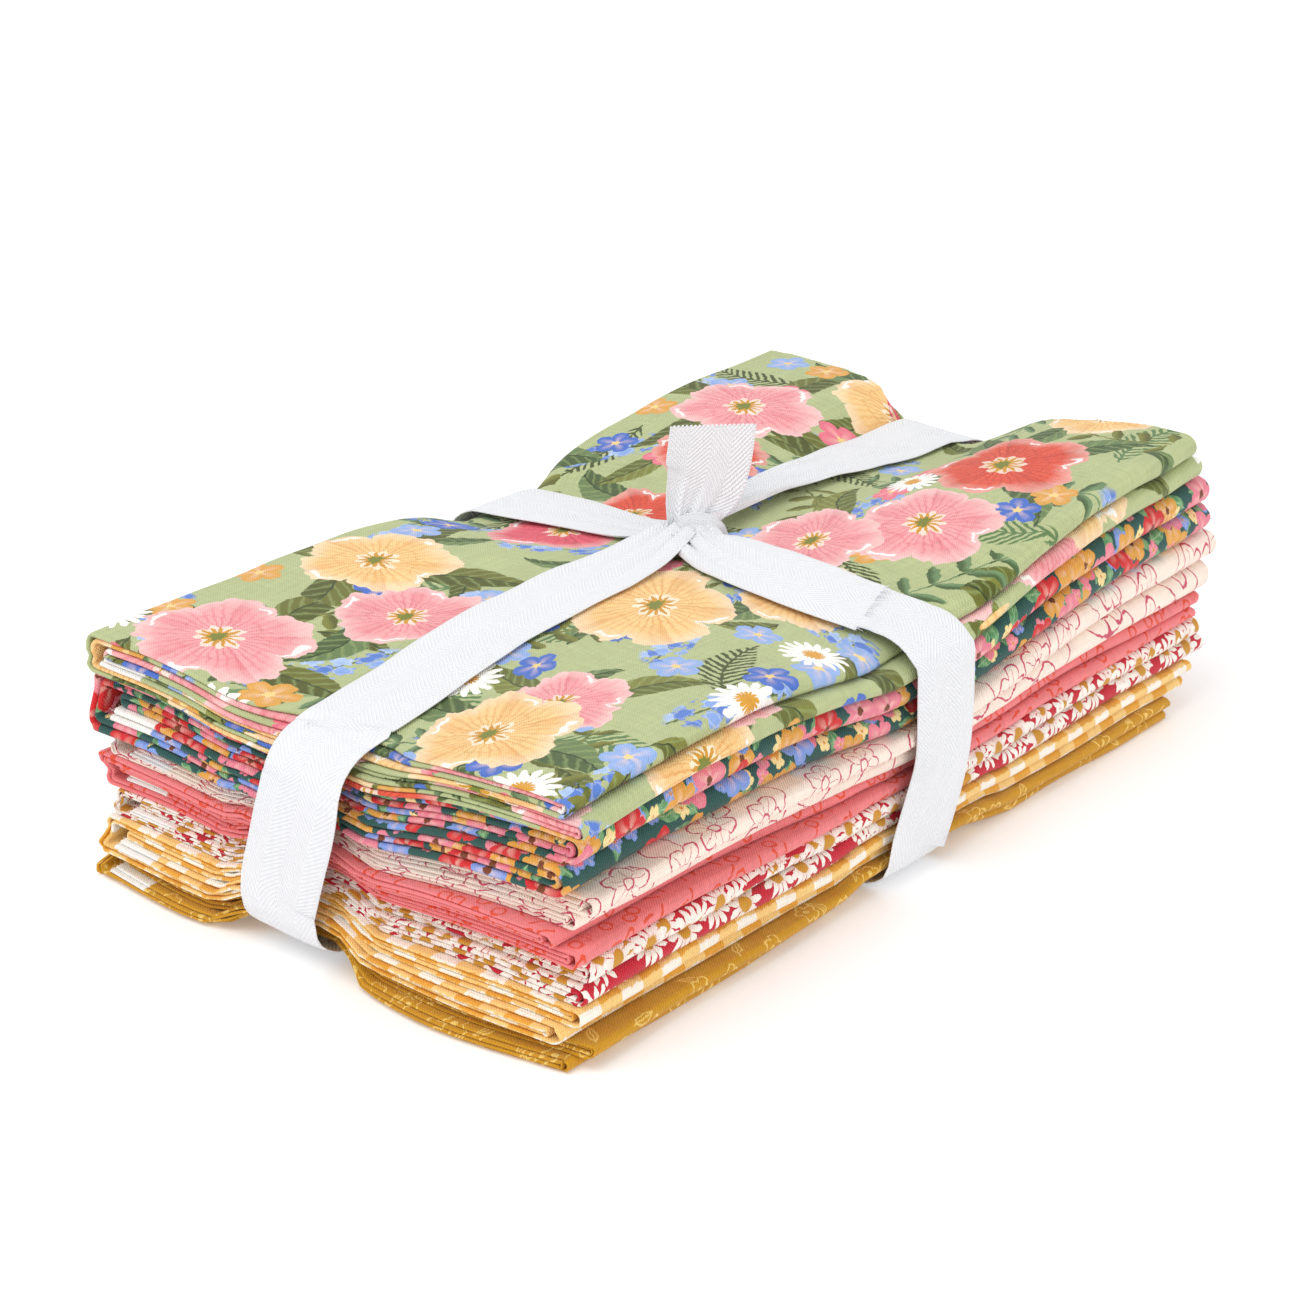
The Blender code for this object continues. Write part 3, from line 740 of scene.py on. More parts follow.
def cell(tree, u, v, pitch, shift, jitter):
    """Place inside the nearest motif's own circle, and three random values."""
    place = joined(tree, u + shift, v + 1.7 * shift)
    lattice = tree.nodes.new("ShaderNodeTexVoronoi")
    lattice.voronoi_dimensions = "2D"
    lattice.inputs["Scale"].default_value = 1.0 / pitch
    lattice.inputs["Randomness"].default_value = jitter
    tree.links.new(place, lattice.inputs["Vector"])
    away = tree.nodes.new("ShaderNodeVectorMath")
    away.operation = "SUBTRACT"
    tree.links.new(place, away.inputs[0])
    tree.links.new(lattice.outputs["Position"], away.inputs[1])
    split = tree.nodes.new("ShaderNodeSeparateXYZ")
    tree.links.new(away.outputs[0], split.inputs[0])
    chance = tree.nodes.new("ShaderNodeSeparateColor")
    tree.links.new(lattice.outputs["Color"], chance.inputs[0])
    return ([Ink(tree, split.outputs[i]) for i in range(2)]
            + [Ink(tree, chance.outputs[i]) for i in range(3)])


FULL_TURN = 6.283


def turned(a, b, chance):
    """A place turned about its motif's middle, by a random share of a full turn."""
    angle = chance * FULL_TURN
    c, s = angle.cos(), angle.sin()
    return a * c + b * s, b * c - a * s


def polar(a, b):
    """Distance and angle from the motif's middle."""
    return (a * a + b * b).power(0.5), b.math("ARCTAN2", a)


def noise(tree, u, v, scale, detail=2.0):
    """Smooth random value about 0.5 over the cloth."""
    node = tree.nodes.new("ShaderNodeTexNoise")
    node.noise_dimensions = "2D"
    node.inputs["Scale"].default_value = scale
    node.inputs["Detail"].default_value = detail
    tree.links.new(joined(tree, u, v), node.inputs["Vector"])
    return Ink(tree, node.outputs[0])


def pick(tree, chance, colours):
    """One of some colours, by a random value."""
    ramp = tree.nodes.new("ShaderNodeValToRGB")
    ramp.color_ramp.interpolation = "CONSTANT"
    steps = ramp.color_ramp.elements
    steps[0].position = 0.0
    steps[0].color = colours[0]
    steps[1].position = 1.0 / len(colours)
    steps[1].color = colours[1]
    for number in range(2, len(colours)):
        steps.new(number / len(colours)).color = colours[number]
    tree.links.new(chance.socket, ramp.inputs[0])
    return ramp.outputs[0]


def cloth_place(tree):
    """Place on the unfolded cloth, in mm."""
    flat = tree.nodes.new("ShaderNodeUVMap")
    flat.uv_map = "cloth"
    split = tree.nodes.new("ShaderNodeSeparateXYZ")
    tree.links.new(flat.outputs[0], split.inputs[0])
    return Ink(tree, split.outputs[0]) * 1000.0, Ink(tree, split.outputs[1]) * 1000.0


def dress(tree, shader, colour, shade, relief, strength, depth):
    """A cloth's colour under its shade, which holds painted shade of its threads and their own tone, and
    its threads' relief as a bump.
    """
    tinted = tree.nodes.new("ShaderNodeVectorMath")
    tinted.operation = "SCALE"
    if isinstance(colour, tuple):
        tinted.inputs[0].default_value = colour[:3]
    else:
        tree.links.new(colour, tinted.inputs[0])
    tree.links.new(shade.socket, tinted.inputs[3])
    tree.links.new(tinted.outputs[0], shader.inputs["Base Color"])
    bump = tree.nodes.new("ShaderNodeBump")
    bump.inputs["Strength"].default_value = strength
    bump.inputs["Distance"].default_value = depth
    tree.links.new(relief.socket, bump.inputs["Height"])
    tree.links.new(bump.outputs[0], shader.inputs["Normal"])


# The weave, in mm: its pitch, the plain selvage at both ends of the cloth's width,
# and how far the print's edges bleed.
WEAVE_PITCH = 0.7
SELVAGE = 13.0
BLEED = 1.1
SELVAGE_WHITE = srgb(246, 243, 238)


def cotton(name, length_v, paint):
    """Printed plain-weave cotton: the print, white selvages, the weave as bump and as painted shade in its
    colour, and soft fading.
    """
    material, tree, shader = surface(name, {"Roughness": 0.82, "Specular IOR Level": 0.25,
                                            "Sheen Weight": 0.18, "Sheen Roughness": 0.5})
    u, v = cloth_place(tree)
    bleed_u = u + (noise(tree, u, v, 0.55) - 0.5) * BLEED
    bleed_v = v + (noise(tree, v, u, 0.55) - 0.5) * BLEED
    colour = paint(tree, bleed_u, bleed_v)
    edge = (SELVAGE - v).within(0.3).most((v - (length_v - SELVAGE)).within(0.3))
    colour = over(tree, colour, SELVAGE_WHITE, edge)
    across = (u * (2.0 * math.pi / WEAVE_PITCH)).sin()
    lengthwise = (v * (2.0 * math.pi / WEAVE_PITCH)).sin()
    weave = across * lengthwise
    slub = noise(tree, u * 0.10, v * 1.3, 1.0, 1.0) + noise(tree, u * 1.3, v * 0.10, 1.0, 1.0)
    fading = (noise(tree, u, v, 0.03) - 0.5) * 0.08
    # The weave's relief also lightens and darkens the colour: this is painted shade of the threads. The
    # slubs and the fading are the cloth's own uneven tone.
    shade = weave * 0.12 + (slub - 1.0) * 0.20 + fading + 1.0
    dress(tree, shader, colour, shade, weave + slub * 0.5, 0.45, 0.0002)
    return material


def thread_tree():
    """Node tree that stands a bent, tapered thread on each point of a cloth's edge."""
    tree = bpy.data.node_groups.new("loose_threads", "GeometryNodeTree")
    tree.interface.new_socket("Edge points", in_out="INPUT", socket_type="NodeSocketGeometry")
    for label, kind in (("Thread length", "Float"), ("Thread thickness", "Float"), ("Bend", "Float"),
                        ("Spread", "Float"), ("Seed", "Int"), ("Thread finish", "Material")):
        tree.interface.new_socket(label, in_out="INPUT", socket_type="NodeSocket" + kind)
    tree.interface.new_socket("Threads", in_out="OUTPUT", socket_type="NodeSocketGeometry")
    given = tree.nodes.new("NodeGroupInput").outputs
    made = tree.nodes.new("NodeGroupOutput")

    def feed(socket, value):
        if isinstance(value, bpy.types.NodeSocket):
            tree.links.new(value, socket)
        else:
            socket.default_value = value

    def node(kind, **inputs):
        placed = tree.nodes.new(kind)
        for label, value in inputs.items():
            feed(placed.inputs[label.replace("_", " ")], value)
        return placed

    def product(first, second):
        times = tree.nodes.new("ShaderNodeMath")
        times.operation = "MULTIPLY"
        feed(times.inputs[0], first)
        feed(times.inputs[1], second)
        return times.outputs[0]

    def random_vector(low, high):
        drawn = tree.nodes.new("FunctionNodeRandomValue")
        drawn.data_type = "FLOAT_VECTOR"
        drawn.inputs[0].default_value = low
        drawn.inputs[1].default_value = high
        tree.links.new(given["Seed"], drawn.inputs["Seed"])
        return drawn.outputs[0]

    thin = product(given["Thread thickness"], 0.5)
    cone = node("GeometryNodeMeshCone", Vertices=3, Side_Segments=2, Radius_Bottom=thin,
                Radius_Top=product(thin, 0.45), Depth=given["Thread length"])
    place = node("GeometryNodeInputPosition").outputs[0]
    up_thread = node("ShaderNodeSeparateXYZ", Vector=place).outputs["Z"]
    lean = product(product(up_thread, up_thread), given["Bend"])
    bent = node("GeometryNodeSetPosition", Geometry=cone.outputs["Mesh"],
                Offset=node("ShaderNodeCombineXYZ", X=lean).outputs[0])
    outward = node("GeometryNodeInputNamedAttribute", Name="outward")
    outward.data_type = "FLOAT_VECTOR"
    facing = tree.nodes.new("FunctionNodeAlignRotationToVector")
    facing.axis = "Z"
    tree.links.new(outward.outputs[0], facing.inputs["Vector"])
    tip = node("ShaderNodeSeparateXYZ", Vector=random_vector((-1.0, -1.0, -3.1), (1.0, 1.0, 3.1)))
    tipped = node("ShaderNodeCombineXYZ", X=product(tip.outputs["X"], given["Spread"]),
                  Y=product(tip.outputs["Y"], given["Spread"]), Z=tip.outputs["Z"])
    turned_so = node("FunctionNodeEulerToRotation", Euler=tipped.outputs[0])
    rotation = tree.nodes.new("FunctionNodeRotateRotation")
    rotation.rotation_space = "LOCAL"
    tree.links.new(facing.outputs[0], rotation.inputs[0])
    tree.links.new(turned_so.outputs[0], rotation.inputs[1])
    standing = node("GeometryNodeInstanceOnPoints", Points=given["Edge points"], Instance=bent.outputs[0],
                    Rotation=rotation.outputs[0], Scale=random_vector((0.8, 0.8, 0.3), (1.2, 1.2, 1.5)))
    real = node("GeometryNodeRealizeInstances", Geometry=standing.outputs[0])
    dressed = node("GeometryNodeSetMaterial", Geometry=real.outputs[0], Material=given["Thread finish"])
    tree.links.new(dressed.outputs[0], made.inputs[0])
    return tree


THREAD_TREE = thread_tree()


def along_edge(line, outward, pitch):
    """Points at an even pitch along an edge, with the way out of the cloth at each."""
    gone = length_along(line)
    places = np.arange(0.5 * pitch, gone[-1], pitch)
    points = np.stack([np.interp(places, gone, line[:, i]) for i in range(3)], axis=1)
    ways = np.stack([np.interp(places, gone, outward[:, i]) for i in range(3)], axis=1)
    return points, ways / (np.linalg.norm(ways, axis=1)[:, None] + 1e-9)


ABOVE_TABLE = 0.02


def loose_threads(name, edges, long, thick, bend, spread, seed, yarn):
    """The threads of some edges as one plain mesh; sizes in mm."""
    points = np.vstack([edge[0] for edge in edges]) + ORIGIN
    ways = np.vstack([edge[1] for edge in edges])
    line = bpy.data.meshes.new(name)
    line.from_pydata((points * MM).tolist(), [], [])
    outward = line.attributes.new("outward", "FLOAT_VECTOR", "POINT")
    outward.data.foreach_set("vector", ways.astype(np.float32).ravel())
    made = bpy.data.objects.new(name, line)
    bpy.context.scene.collection.objects.link(made)
    nodes = made.modifiers.new("threads", "NODES")
    nodes.node_group = THREAD_TREE
    values = {"Thread length": long * MM, "Thread thickness": thick * MM, "Bend": bend / MM,
              "Spread": spread, "Seed": seed, "Thread finish": yarn}
    for socket in THREAD_TREE.interface.items_tree:
        if socket.name in values:
            nodes[socket.identifier] = values[socket.name]
    evaluated = made.evaluated_get(bpy.context.evaluated_depsgraph_get())
    plain = bpy.data.meshes.new_from_object(evaluated)
    made.modifiers.remove(nodes)
    for point in plain.vertices:
        point.co.z = max(point.co.z, ABOVE_TABLE * MM)
    made.data = plain
    return made


def thread_finish(name, printed, pale):
    """Loose cotton yarn: partly printed, partly the undyed inside of the yarn."""
    material, tree, shader = surface(name, {"Roughness": 0.9, "Sheen Weight": 0.2})
    place = tree.nodes.new("ShaderNodeTexCoord")
    fleck = tree.nodes.new("ShaderNodeTexNoise")
    fleck.inputs["Scale"].default_value = 260.0
    fleck.inputs["Detail"].default_value = 2.0
    tree.links.new(place.outputs["Object"], fleck.inputs["Vector"])
    share = ((Ink(tree, fleck.outputs[0]) - 0.5) * 3.0 + 0.5).held()
    tree.links.new(over(tree, printed, pale, share), shader.inputs["Base Color"])
    return material


# Distance between two loose threads on the cut edges and on the selvages, in mm.
CUT_EDGE_PITCH = 2.0
SELVAGE_PITCH = 1.0


def finish_cut(piece, fold, node, material, yarn):
    """The loose threads of a cut's edges; the cut takes its material, hangs with its threads from the
    root, and its imported part is hidden.
    """
    outward = np.array((1.0, 0.0, 0.0))
    raw = [along_edge(edge, np.broadcast_to(outward, edge.shape), CUT_EDGE_PITCH)
           for edge in fold.cut_edges]
    fringe = [along_edge(line, way, SELVAGE_PITCH) for line, way in fold.selvages]
    threads = loose_threads(piece.name + "_threads", raw + fringe, long=1.0, thick=0.13, bend=0.35,
                            spread=0.5, seed=fold.seed, yarn=yarn)
    piece.data.materials.append(material)
    for held in (piece, threads):
        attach(held, "root")
    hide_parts(node)


mustard_fold = Folded("cut_mustard_sprig", 101, near=(68.0, 71.5, 69.0), far=72.0,
                      left=(120.0, 115.5), right=(110.5, 112.0), askew=2.0, bulge=4.5)
mustard = mustard_fold.mesh_object("mustard_cut")


def mustard_print(tree, u, v):
    """Pale outlined sprigs and small blossoms on mustard."""
    ground = srgb(205, 148, 22)
    pale = srgb(238, 200, 106)
    a, b, chance, _, _ = cell(tree, u, v, 12.0, 3.1, 0.6)
    r, angle = polar(*turned(a, b, chance))
    rim = (angle * 2.5).cos().size() * 0.9 + 1.9
    line = (0.24 - (r - rim).size()).within(0.15)
    heart = (0.7 - r).within(0.15)
    colour = over(tree, ground, pale, line.most(heart))
    a, b, chance, _, _ = cell(tree, u, v, 10.5, 41.0, 0.8)
    a, b = turned(a, b, chance)
    width = (1.0 - (a / 2.8) * (a / 2.8)) * 0.9
    leaf = (0.2 - (b.size() - width).size()).within(0.15) * (2.8 - a.size()).within(0.1)
    stem = (0.15 - b.size()).within(0.12) * (3.4 - a.size()).within(0.1)
    return over(tree, colour, pale, leaf.most(stem) * (1.0 - (3.0 - r).within(0.2)))


finish_cut(mustard, mustard_fold, "cut_mustard_sprig",
           cotton("mustard_sprig_cotton", mustard_fold.length_v, mustard_print),
           thread_finish("mustard_yarn", srgb(205, 148, 30), srgb(240, 222, 170)))


# The second cut: yellow gingham, woven in white, pale yellow and gold checks of
# a quarter inch.  Its inner near folds lie well back inside the outer ones.
gingham_fold = Folded("cut_yellow_gingham", 202, near=(66.5, 70.0, 68.5), far=70.5,
                      left=(120.0, 117.5), right=(119.5, 122.5), askew=1.0, bulge=1.0, slack=2.6)
gingham = gingham_fold.mesh_object("gingham_cut")
CHECK = 6.35
CHECK_START = 3.2


def gingham_print(tree, u, v):
    """Two sets of stripes: gold where both cross, pale where one runs alone."""
    warp = (u * (math.pi / CHECK)).sin().within(0.08)
    weft = ((v + CHECK_START) * (math.pi / CHECK)).sin().within(0.08)
    colour = over(tree, srgb(252, 244, 230), srgb(248, 206, 128), warp.most(weft))
    return over(tree, colour, srgb(232, 166, 56), warp * weft)


finish_cut(gingham, gingham_fold, "cut_yellow_gingham",
           cotton("yellow_gingham_cotton", gingham_fold.length_v, gingham_print),
           thread_finish("gingham_yarn", srgb(238, 186, 90), srgb(250, 242, 226)))


# The third cut: red cotton with close white daisies that have gold hearts.  Its
# upper and lower near folds are nearly level.
red_fold = Folded("cut_red_daisy", 303, near=(70.0, 70.5, 68.0), far=68.5,
                  left=(116.0, 115.0), right=(129.5, 126.5))
red = red_fold.mesh_object("red_daisy_cut")


def daisy_layer(tree, ground, u, v, shift, size):
    """White daisies with gold hearts, scattered close together."""
    a, b, chance, _, _ = cell(tree, u, v, 10.2, shift, 0.5)
    r, angle = polar(a, b)
    petal = ((angle + chance * FULL_TURN) * 5.5).cos().size()
    rim = petal.power(0.8) * (0.70 * size) + 0.30 * size
    white = over(tree, srgb(252, 246, 236), srgb(235, 190, 178), ((r / size) * -1.4 + 0.9).held())
    colour = over(tree, ground, white, (rim - r).within(0.25))
    return over(tree, colour, srgb(208, 148, 44), (0.34 * size - r).within(0.25))


def red_print(tree, u, v):
    """Two overlapping layers of daisies on red."""
    colour = daisy_layer(tree, srgb(200, 28, 50), u, v, shift=4.7, size=4.7)
    return daisy_layer(tree, colour, u, v, shift=63.2, size=5.1)


finish_cut(red, red_fold, "cut_red_daisy",
           cotton("red_daisy_cotton", red_fold.length_v, red_print),
           thread_finish("red_yarn", srgb(200, 50, 66), srgb(246, 230, 224)))


# The fourth cut: coral pink with small orange rings and dashes.  Its upper near
# fold is set back from its lower one, and its noses stand out at the left end.
coral_fold = Folded("cut_coral_line", 404, near=(70.0, 65.0, 67.5), far=71.5,
                    left=(118.0, 120.5), right=(124.5, 125.5), slack=2.2, left_askew=3.0)
coral = coral_fold.mesh_object("coral_cut")


def coral_print(tree, u, v):
    """Small orange rings and dashes in loose rows on coral pink."""
    ground = srgb(240, 130, 132)
    ink = srgb(230, 80, 52)
    a, b, chance, kind, _ = cell(tree, u, v, 5.0, 9.4, 0.75)
    a, b = turned(a, b, chance)
    r, _ = polar(a, b)
    ring = (0.30 - (r - 1.35).size()).within(0.14) * (kind - 0.45).within(0.02)
    dash = (0.30 - b.size()).within(0.14) * (1.7 - a.size()).within(0.14)
    return over(tree, ground, ink, ring.most(dash * (0.45 - kind).within(0.02)))


finish_cut(coral, coral_fold, "cut_coral_line",
           cotton("coral_ring_cotton", coral_fold.length_v, coral_print),
           thread_finish("coral_yarn", srgb(238, 134, 138), srgb(250, 230, 226)))


# The fifth cut: cream with a thin raspberry line drawing of blossoms and stems.
# It is thin at the left and loose and thick at the right.
cream_fold = Folded("cut_cream_line", 505, near=(68.0, 72.0, 69.0), far=67.5,
                    left=(117.0, 115.5), right=(128.5, 130.5), askew=-2.0, slack=2.4)
cream = cream_fold.mesh_object("cream_cut")


def cream_print(tree, u, v):
    """Outlined blossoms and wandering stems in raspberry on cream."""
    ground = srgb(252, 234, 220)
    ink = srgb(206, 76, 104)
    a, b, chance, _, _ = cell(tree, u, v, 17.0, 12.2, 0.6)
    r, angle = polar(a, b)
    angle = angle + chance * FULL_TURN
    lobes = (angle * 2.5).cos().size()
    rim = lobes.power(0.7) * 2.4 + 3.4
    line = (0.26 - (r - rim).size()).within(0.14)
    line = line.most((0.2 - (r - 1.3).size()).within(0.14))
    vein = (0.16 - (angle * 5.0).sin().size() * (r * 0.4)).within(0.1)
    line = line.most(vein * (r - 1.6).within(0.2) * (rim - 0.9 - r).within(0.2))
    stems = (0.012 - (noise(tree, u, v, 0.085, 0.0) - 0.5).size()).within(0.005)
    stems = stems * (r - rim - 0.5).within(0.2)
    return over(tree, ground, ink, line.most(stems))


finish_cut(cream, cream_fold, "cut_cream_line",
           cotton("cream_line_cotton", cream_fold.length_v, cream_print),
           thread_finish("cream_yarn", srgb(244, 214, 200), srgb(250, 244, 236)))


# The sixth cut: dark teal with a close small floral in pink, red, ochre and blue.
# It is the thickest cut, and its middle bands end well short of the spines.
teal_fold = Folded("cut_teal_floral", 606, near=(67.5, 69.5, 68.0), far=72.5,
                   left=(118.5, 116.5), right=(127.5, 126.5), askew=1.0, slack=2.2, setback=9.0)
teal = teal_fold.mesh_object("teal_cut")


def ditsy_layer(tree, ground, u, v, pitch, shift, size, colours, heart, keep=1.0):
    """Small five-petalled flowers in several colours."""
    a, b, turn, kind, chance = cell(tree, u, v, pitch, shift, 0.6)
    r, angle = polar(a, b)
    petal = ((angle + turn * FULL_TURN) * 2.5).cos().size()
    rim = petal.power(0.55) * (0.42 * size) + 0.58 * size
    rim = rim * (keep - chance).within(0.001)
    tone = over(tree, pick(tree, kind, colours), srgb(250, 214, 196),
                (petal * 1.2 - r / size * 1.3).held() * 0.55)
    colour = over(tree, ground, tone, (rim - r).within(0.22))
    return over(tree, colour, heart, (rim * 0.2 - r).within(0.2))


def small_leaves(tree, ground, u, v, pitch, shift, long, wide, dark, light):
    """Single leaves with a pale rib, turned every way."""
    a, b, chance, _, _ = cell(tree, u, v, pitch, shift, 0.8)
    a, b = turned(a, b, chance)
    width = (1.0 - (a / long) * (a / long)) * wide
    leaf = (width - b.size()).within(0.2) * (long - a.size()).within(0.1)
    tone = over(tree, dark, light, ((a - b.size() * 0.8) * (9.0 / long)).sin().within(0.8) * 0.5)
    colour = over(tree, ground, tone, leaf)
    return over(tree, colour, light, (0.05 * wide + 0.06 - b.size()).within(0.1) * leaf)


def teal_print(tree, u, v):
    """Leaves, buds and flowers, close together on teal."""
    pink = srgb(236, 132, 150)
    red = srgb(212, 40, 44)
    ochre = srgb(226, 162, 66)
    blue = srgb(128, 158, 226)
    straw = srgb(246, 222, 150)
    brown = srgb(120, 60, 30)
    gold = srgb(222, 150, 60)
    colour = small_leaves(tree, srgb(38, 84, 78), u, v, pitch=7.5, shift=5.5, long=3.8, wide=1.5,
                          dark=srgb(92, 146, 96), light=srgb(150, 190, 140))
    colour = ditsy_layer(tree, colour, u, v, pitch=6.5, shift=77.0, size=2.0,
                         colours=(blue, straw, pink), heart=gold)
    colour = ditsy_layer(tree, colour, u, v, pitch=13.0, shift=58.0, size=4.4,
                         colours=(ochre, blue, pink, ochre), heart=brown)
    return ditsy_layer(tree, colour, u, v, pitch=12.5, shift=31.0, size=5.2,
                       colours=(pink, red, ochre, pink, red, blue), heart=brown)


finish_cut(teal, teal_fold, "cut_teal_floral",
           cotton("teal_floral_cotton", teal_fold.length_v, teal_print),
           thread_finish("teal_yarn", srgb(70, 104, 96), srgb(238, 224, 214)))


# The top cut: sage green with a large floral of peach, pink and coral blooms in
# green leaves.  The ribbon sinks into it and leaves four soft pillows.
sage_fold = Folded("cut_sage_floral", 707, near=(72.0, 67.5, 67.0), far=72.0,
                   left=(118.0, 118.5), right=(123.5, 120.0), askew=7.5, slack=1.4,
                   runs=42, stations=78)
sage = sage_fold.mesh_object("sage_cut")


def big_blooms(tree, ground, u, v, shift, size, colours, streaks):
    """Large open blooms with overlapping streaked petals and a crown of stamens."""
    a, b, turn, kind, chance = cell(tree, u, v, 66.0, shift, 0.45)
    r, angle = polar(a, b)
    wobble = (noise(tree, a, b, 0.16) - 0.5) * 5.0
    r = (r + wobble) / (chance * 0.34 + 0.76)
    angle = angle + turn * FULL_TURN
    petal = (angle * 2.5).cos().size()
    rim = petal.power(0.45) * (0.25 * size) + (angle * 23.0).sin() * 0.25 + 0.75 * size
    mask = (rim - r).within(0.35)
    base = pick(tree, kind, colours)
    dark = pick(tree, kind, streaks)
    spread = r / rim
    lines = (angle * 17.0 + wobble * 0.5).sin().size().power(7.0)
    tone = over(tree, base, dark, (lines * (1.2 - spread * 1.1).held()).held() * 0.85)
    overlap = (angle * (2.5 / math.pi)).wrapped(0.0, 1.0).power(5.0)
    tone = over(tree, tone, dark, overlap * (spread * 1.3).held() * 0.55)
    tone = over(tree, tone, srgb(255, 250, 240), ((spread - 0.72) * 3.2).held() * 0.4)
    inner = ((angle + 0.6) * 2.5).cos().size().power(0.5) * (0.15 * size) + 0.38 * size
    tone = over(tree, tone, dark, (0.3 - (r - inner).size()).within(0.25) * 0.3)
    strokes = (0.32 - (spread * 10.0 - 8.9).size()).within(0.2)
    strokes = strokes * ((angle * 3.7 + turn * 9.0).sin() - 0.72).within(0.1)
    tone = over(tree, tone, srgb(255, 255, 252), strokes * 0.85)
    colour = over(tree, ground, tone, mask)
    ruff = ((angle * 9.0).sin() * 0.7 + 0.27 * size - r).within(0.3)
    colour = over(tree, colour, srgb(255, 246, 226), ruff * mask * 0.7)
    crown = ((angle * 13.0).sin() * 1.3 + 0.19 * size - r).within(0.25)
    colour = over(tree, colour, srgb(212, 152, 44), crown * mask)
    heart = ((angle * 8.0).sin() * 0.4 + 0.10 * size - r).within(0.25)
    return over(tree, colour, srgb(124, 130, 44), heart)


def broad_leaves(tree, ground, u, v, pitch, shift, reach, long, wide, count, keep):
    """Broad two-toned leaves with pale veins, alone or standing out from under a bloom."""
    a, b, turn, kind, chance = cell(tree, u, v, pitch, shift, 0.45)
    if count > 1:
        r, angle = polar(a, b)
        sector = 2.0 * math.pi / count
        own = (angle + turn * FULL_TURN).wrapped(-0.5 * sector, 0.5 * sector)
        x, y = r * own.cos() - reach, r * own.sin()
    else:
        x, y = turned(a, b, turn)
    y = y + x * x * (0.35 / long)
    share = x / long
    width = (1.0 - share * share) * (share * -0.4 + 1.0) * wide
    leaf = (width - y.size()).within(0.3) * (long - x.size()).within(0.2)
    leaf = leaf * (keep - chance).within(0.001)
    dark = pick(tree, kind, (srgb(82, 88, 26), srgb(100, 106, 38), srgb(74, 96, 50)))
    light = pick(tree, kind, (srgb(124, 126, 48), srgb(144, 146, 64), srgb(126, 150, 96)))
    tone = over(tree, dark, light, y.within(0.5) * 0.55)
    veins = ((x - y.size() * 1.1) * (11.0 / long)).sin().size().power(9.0)
    tone = over(tree, tone, srgb(158, 176, 112), veins * 0.45)
    tone = over(tree, tone, srgb(50, 66, 28), (0.22 - y.size()).within(0.2))
    return over(tree, ground, tone, leaf)


def leaf_sprays(tree, ground, u, v, pitch, shift, keep):
    """Curved stems with pairs of small leaves that lean forward, as on olive."""
    a, b, turn, kind, chance = cell(tree, u, v, pitch, shift, 0.5)
    a, b = turned(a, b, turn)
    b = b + a * a * 0.022
    lean = a.wrapped(-3.6, 3.6) - b.size() * 0.55 + 1.6
    out = b.size() - 3.7
    leaf = (1.0 - (out / 3.4) * (out / 3.4) - (lean / 1.7) * (lean / 1.7)).within(0.25)
    shown = (keep - chance).within(0.001) * (14.5 - a.size()).within(0.2)
    mask = leaf.most((0.34 - b.size()).within(0.2)) * shown
    dark = pick(tree, kind, (srgb(94, 98, 32), srgb(76, 100, 58)))
    light = pick(tree, kind, (srgb(138, 140, 60), srgb(126, 158, 112)))
    tone = over(tree, dark, light, (lean * 0.8 + 0.5).held() * 0.7)
    return over(tree, ground, tone, mask)


def blossom_spikes(tree, ground, u, v, pitch, shift, colours):
    """Tall spikes of many small florets, as on a larkspur."""
    long = 17.0
    a, b, turn, _, _ = cell(tree, u, v, pitch, shift, 0.5)
    a, b = turned(a, b, turn)
    wide = a * 0.10 + 5.0
    body = 1.0 - (a / long) * (a / long) - (b / wide) * (b / wide)
    c, d, spin, shade, _ = cell(tree, u, v, 4.4, 2.0, 0.8)
    r, angle = polar(c, d)
    floret = ((angle + spin * 6.0) * 2.5).cos().size() * 1.1 + 1.3
    mask = (floret - r).within(0.2) * body.within(0.25)
    pale = (0.9 - (r - 1.6).size() * 2.0).held() * 0.35
    tone = over(tree, pick(tree, shade, colours), srgb(236, 242, 252), pale)
    stem = (0.3 - b.size()).within(0.2) * (long - a.size()).within(0.3)
    colour = over(tree, ground, srgb(84, 104, 44), stem)
    return over(tree, colour, tone, mask)


def fern_fronds(tree, ground, u, v, pitch, shift):
    """Dark green fronds with fine needles on both sides of a stem."""
    long = 15.0
    a, b, turn, kind, _ = cell(tree, u, v, pitch, shift, 0.5)
    a, b = turned(a, b, turn)
    b = b + a * a * 0.018
    share = a / long
    width = (1.0 - share * share) * 5.6
    needles = ((a - b.size() * 0.9) * 2.7).sin().within(0.5)
    mask = (width - b.size()).within(0.6) * (long - a.size()).within(0.3) * needles
    mask = mask.most((0.32 - b.size()).within(0.2) * (long + 0.5 - a.size()).within(0.3))
    tone = over(tree, srgb(68, 82, 28), srgb(94, 126, 74), (kind - 0.5).within(0.01))
    return over(tree, ground, tone, mask)


def tall_daisies(tree, ground, u, v, pitch, shift, keep):
    """Single white daisies with many thin petals and an ochre heart."""
    a, b, turn, _, chance = cell(tree, u, v, pitch, shift, 0.6)
    r, angle = polar(a, b)
    rim = ((angle + turn * FULL_TURN) * 8.0).cos().size().power(0.6) * 4.2 + 4.0
    rim = rim * (keep - chance).within(0.001)
    colour = over(tree, ground, srgb(252, 250, 244), (rim - r).within(0.25))
    return over(tree, colour, srgb(222, 160, 52), (rim * 0.36 - r).within(0.3))


